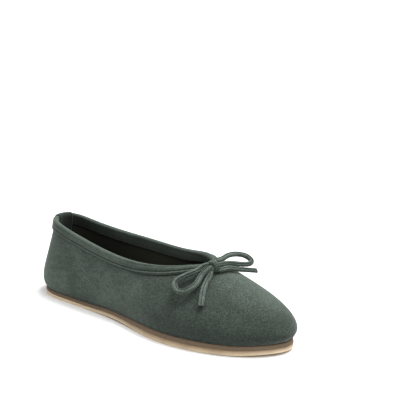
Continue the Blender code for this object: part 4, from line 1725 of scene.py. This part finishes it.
@dataclass
class Bow:
    """The lace tied at the throat: a knot of wraps, two loops and two ends."""

    last: Last
    ground: Ground
    fold: Strip = Strip(0.0042, 0.0034, (-0.18,), 0.0009)
    tail: Strip = Strip(0.0042, 0.0028, (0.04,), 0.0007)
    wrap: Strip = Strip(0.0050, 0.0034, (-0.17, 0.16), 0.0010, 0.065)
    face: Place = (0.40, -0.45, 0.80)
    root: float = 0.5
    taper: float = 0.0055
    tuck: float = 0.35
    spacing: float = 0.0007
    free: float = 0.004
    wobble: float = 0.05
    fuzz: float = 0.00012

    def __post_init__(self) -> None:
        """Sets the knot down on the binding, ahead of the rim's throat."""
        size = self.last.sizes
        self.half = size.knot_turns * (size.lace + size.gap) / 2
        rim = self.last.sections(np.array([THROAT])).rim[0]
        above = rim + np.array([size.bow_ahead, size.bow_aside, 2 * (size.knot_radius + size.lace)])
        fall = self.ground.fall(above + self.wraps(18), size.lace / 2 + size.gap)
        self.middle = above - np.array([0.0, 0.0, fall])
        self.suede = LACE_SUEDE.material()

    def wraps(self, count: int, tucked: float = 0.0) -> Array:
        """The middle line of the wraps, from the knot's middle.

        Args:
            count: How many points.
            tucked: A share of a turn that each end runs on into the knot.

        Returns:
            The points.
        """
        size = self.last.sizes
        turn = np.linspace(-tucked, size.knot_turns + tucked, count)
        angle = 2 * math.pi * turn - math.pi / 2
        over = np.maximum(np.maximum(-turn, turn - size.knot_turns), 0.0) / max(tucked, 1e-6)
        radius = size.knot_radius * (1 - 0.72 * over)
        aside = (np.clip(turn, 0.0, size.knot_turns) / size.knot_turns * 2 - 1) * self.half * (1 - 0.5 * over)
        return np.column_stack([-radius * np.cos(angle), aside, radius * np.sin(angle)])

    def leave(self, where: Strand, side: Side) -> Array:
        """The place where a strand leaves the knot.

        Args:
            where: The strand's place on the knot.
            side: The side of the bow.

        Returns:
            The place.
        """
        lace = self.last.sizes.lace
        aside = side.sign * (self.half + side.beside * lace)
        return self.middle + np.array([where.ahead * lace, aside, where.above * lace])

    def route(self, start: Array, places: Sequence[Place], end: Sequence[Array]) -> Array:
        """An even line through places, lifted wherever it would touch the shoe.

        Args:
            start: Where it leaves the knot.
            places: The places on its way.
            end: Where it comes back, if it does.

        Returns:
            The line's points.
        """
        size = self.last.sizes
        inside = [self.middle + self.root * (point - self.middle) for point in (start, *end)]
        middle = [self.middle + np.array(place) * size.bow_reach for place in places]
        through = np.array([inside[0], start, *middle, *end, *inside[1:]])
        fine = spline(through, np.linspace(0.0, len(through) - 1.0, 60 * len(through)))
        run = travelled(fine)
        even = np.linspace(0.0, run[-1], max(16, round(run[-1] / self.spacing)) + 1)
        points = np.column_stack([np.interp(even, run, fine[:, axis]) for axis in range(3)])
        lift = np.array([self.ground.rise(point, size.lace / 2 + size.gap) for point in points])
        lift[even < self.free] = 0.0
        for _ in range(6):
            lift = np.maximum(lift, np.convolve(np.pad(lift, 1, "edge"), [0.25, 0.5, 0.25], "valid"))
        points[:, 2] += lift
        return points

    def sweep(self, name: str, line: Array, facing: Array, strip: Strip, cut: bool) -> Piece:
        """A strip swept along a line.

        Args:
            name: The piece's name.
            line: Its middle line.
            facing: What the grooved face looks towards, at each point.
            strip: Its section.
            cut: Whether its far end is a cut one, hollow between the layers.

        Returns:
            The strand.
        """
        tangent = unit(np.gradient(line, axis=0))
        facing = unit(facing - tangent * (facing * tangent).sum(axis=1)[:, None])
        side = np.cross(tangent, facing)
        across, raised, deep = strip.outline().T
        run = travelled(line)
        wide = 1.0 + self.wobble * np.array([noise.noise(Vector(point) * 180.0) for point in line])
        for away in (run,) if cut else (run, run[-1] - run):
            t = np.clip(away / self.taper, 0, 1)
            wide *= 0.5 + 0.5 * t * t * (3 - 2 * t)
        along = np.linspace(0.0, 0.8, len(line))
        section = side[:, None] * across[None, :, None] + facing[:, None] * raised[None, :, None]
        points = line[:, None] + wide[:, None, None] * section
        if cut:
            tip = [line[-1] - tangent[-1] * back + scale * section[-1] for scale, back in CUT_TIP]
            points = np.concatenate([points, tip])
            along = np.concatenate([along, (CUT_END[0], 1.0, 1.0, 1.0)])
        spread = unit(points - points.mean(axis=1, keepdims=True))
        points = points + spread * (self.fuzz * uneven(points, 0.0018, 1.0))[:, :, None]
        chart = np.stack(np.broadcast_arrays(deep[None, :], along[:, None]), axis=2)
        return Cloth.lattice(name, points, (False, True), ("lace", chart), capped=True)

    def strand(self, word: str, line: Array, facing: Array, strip: Strip, cut: bool) -> None:
        """Builds and dresses one strand.

        Args:
            word: What it is called.
            line: Its middle line.
            facing: What its grooved face looks towards.
            strip: Its section.
            cut: Whether its far end is a cut one.
        """
        made = self.sweep(f"lace_{word}", line, facing, strip, cut)
        Cloth.finish(made, Slot.LACE, [self.suede], [f"bow_{word}"])
        LOG.info("%s: %.1f mm long", made.name, 1000 * travelled(line)[-1])

    def build(self) -> None:
        """All the pieces of the lace."""
        wraps = self.wraps(97, self.tuck)
        radial = wraps * np.array([1.0, 0.0, 1.0])
        self.strand("knot", self.middle + wraps, radial, self.wrap, False)
        for side in SIDES:
            back, front, tail = (self.leave(where, side) for where in (side.back, side.front, side.tail))
            loop = self.route(back, side.loop, [front])
            self.strand(f"loop_{side.word}", loop, np.broadcast_to(self.face, loop.shape), self.fold, False)
            end = self.route(tail, side.end, [])
            self.strand(f"end_{side.word}", end, np.broadcast_to(self.face, end.shape), self.tail, True)


class Sun(NamedTuple):
    """A wide soft light: what it shines from, how strongly, and how many degrees wide it looks."""

    direction: Place
    strength: float
    spread: float


SUNS = (Sun((0.30, 0.10, 1.0), 3.2, 85.0), Sun((0.18, 0.22, 1.0), 2.6, 14.0))


@dataclass
class Studio:
    """A plain pale floor, soft light and the camera."""

    target: Place = (0.03975, 0.00126, 0.10193)
    azimuth: float = 42.0
    elevation: float = 14.5
    roll: float = 0.52
    distance: float = 1.0
    lens: float = 120.35
    sensor: float = 36.0
    floor_half: float = 3.0
    floor_grey: float = 0.72
    sky: float = 0.62

    def camera(self) -> None:
        """Sets the camera at the photograph's angle."""
        a, e, r = (math.radians(angle) for angle in (self.azimuth, self.elevation, self.roll))
        back = Vector((math.sin(a) * math.cos(e), -math.cos(a) * math.cos(e), math.sin(e)))
        right = Vector((math.cos(a), math.sin(a), 0.0))
        up = back.cross(right)
        right, up = right * math.cos(r) + up * math.sin(r), up * math.cos(r) - right * math.sin(r)
        data = bpy.data.cameras.new("view")
        data.lens = self.lens
        data.sensor_width = self.sensor
        data.clip_start = 0.01
        camera = placed("view", data)
        turn = Matrix((right, up, back)).transposed().to_4x4()
        camera.matrix_world = Matrix.Translation(Vector(self.target) + back * self.distance) @ turn
        bpy.context.scene.camera = camera

    def floor(self) -> None:
        """A wide pale floor."""
        mesh = bpy.data.meshes.new("floor")
        signs = ((-1, -1), (1, -1), (1, 1), (-1, 1))
        corners = [(self.floor_half * x, self.floor_half * y, 0.0) for x, y in signs]
        mesh.from_pydata(corners, [], [(0, 1, 2, 3)])
        grey = (self.floor_grey, self.floor_grey, self.floor_grey)
        mesh.materials.append(Plain("floor_paint", grey, 0.8).material())
        placed("floor", mesh)

    def light(self, sun: Sun) -> None:
        """Sets up a light.

        Args:
            sun: The light.
        """
        data = bpy.data.lights.new(f"overhead_{sun.spread:.0f}", "SUN")
        data.energy = sun.strength
        data.angle = math.radians(sun.spread)
        lamp = placed(data.name, data)
        lamp.rotation_euler = Vector(sun.direction).to_track_quat("Z", "Y").to_euler()

    def build(self) -> None:
        """The whole studio."""
        self.camera()
        self.floor()
        for sun in SUNS:
            self.light(sun)
        world = bpy.data.worlds.new("studio")
        world.use_nodes = True
        world.node_tree.nodes["Background"].inputs["Color"].default_value = (1.0, 1.0, 1.0, 1.0)
        world.node_tree.nodes["Background"].inputs["Strength"].default_value = self.sky
        bpy.context.scene.world = world
        bpy.context.scene.view_settings.view_transform = "Standard"


def main() -> None:
    """Builds the shoe's looks in order."""
    logging.basicConfig(level=logging.INFO, format="%(name)s: %(message)s")
    Studio().build()
    last = Last()
    LOG.info("origin %s", last.origin.round(6))
    upper = Upper(last).build()
    roll = Binding(last).build()[0]
    Bow(last, Ground([upper, roll])).build()
    HeelTab(last).build()
    Sole(last).build()


if __name__ == "__main__":
    main()
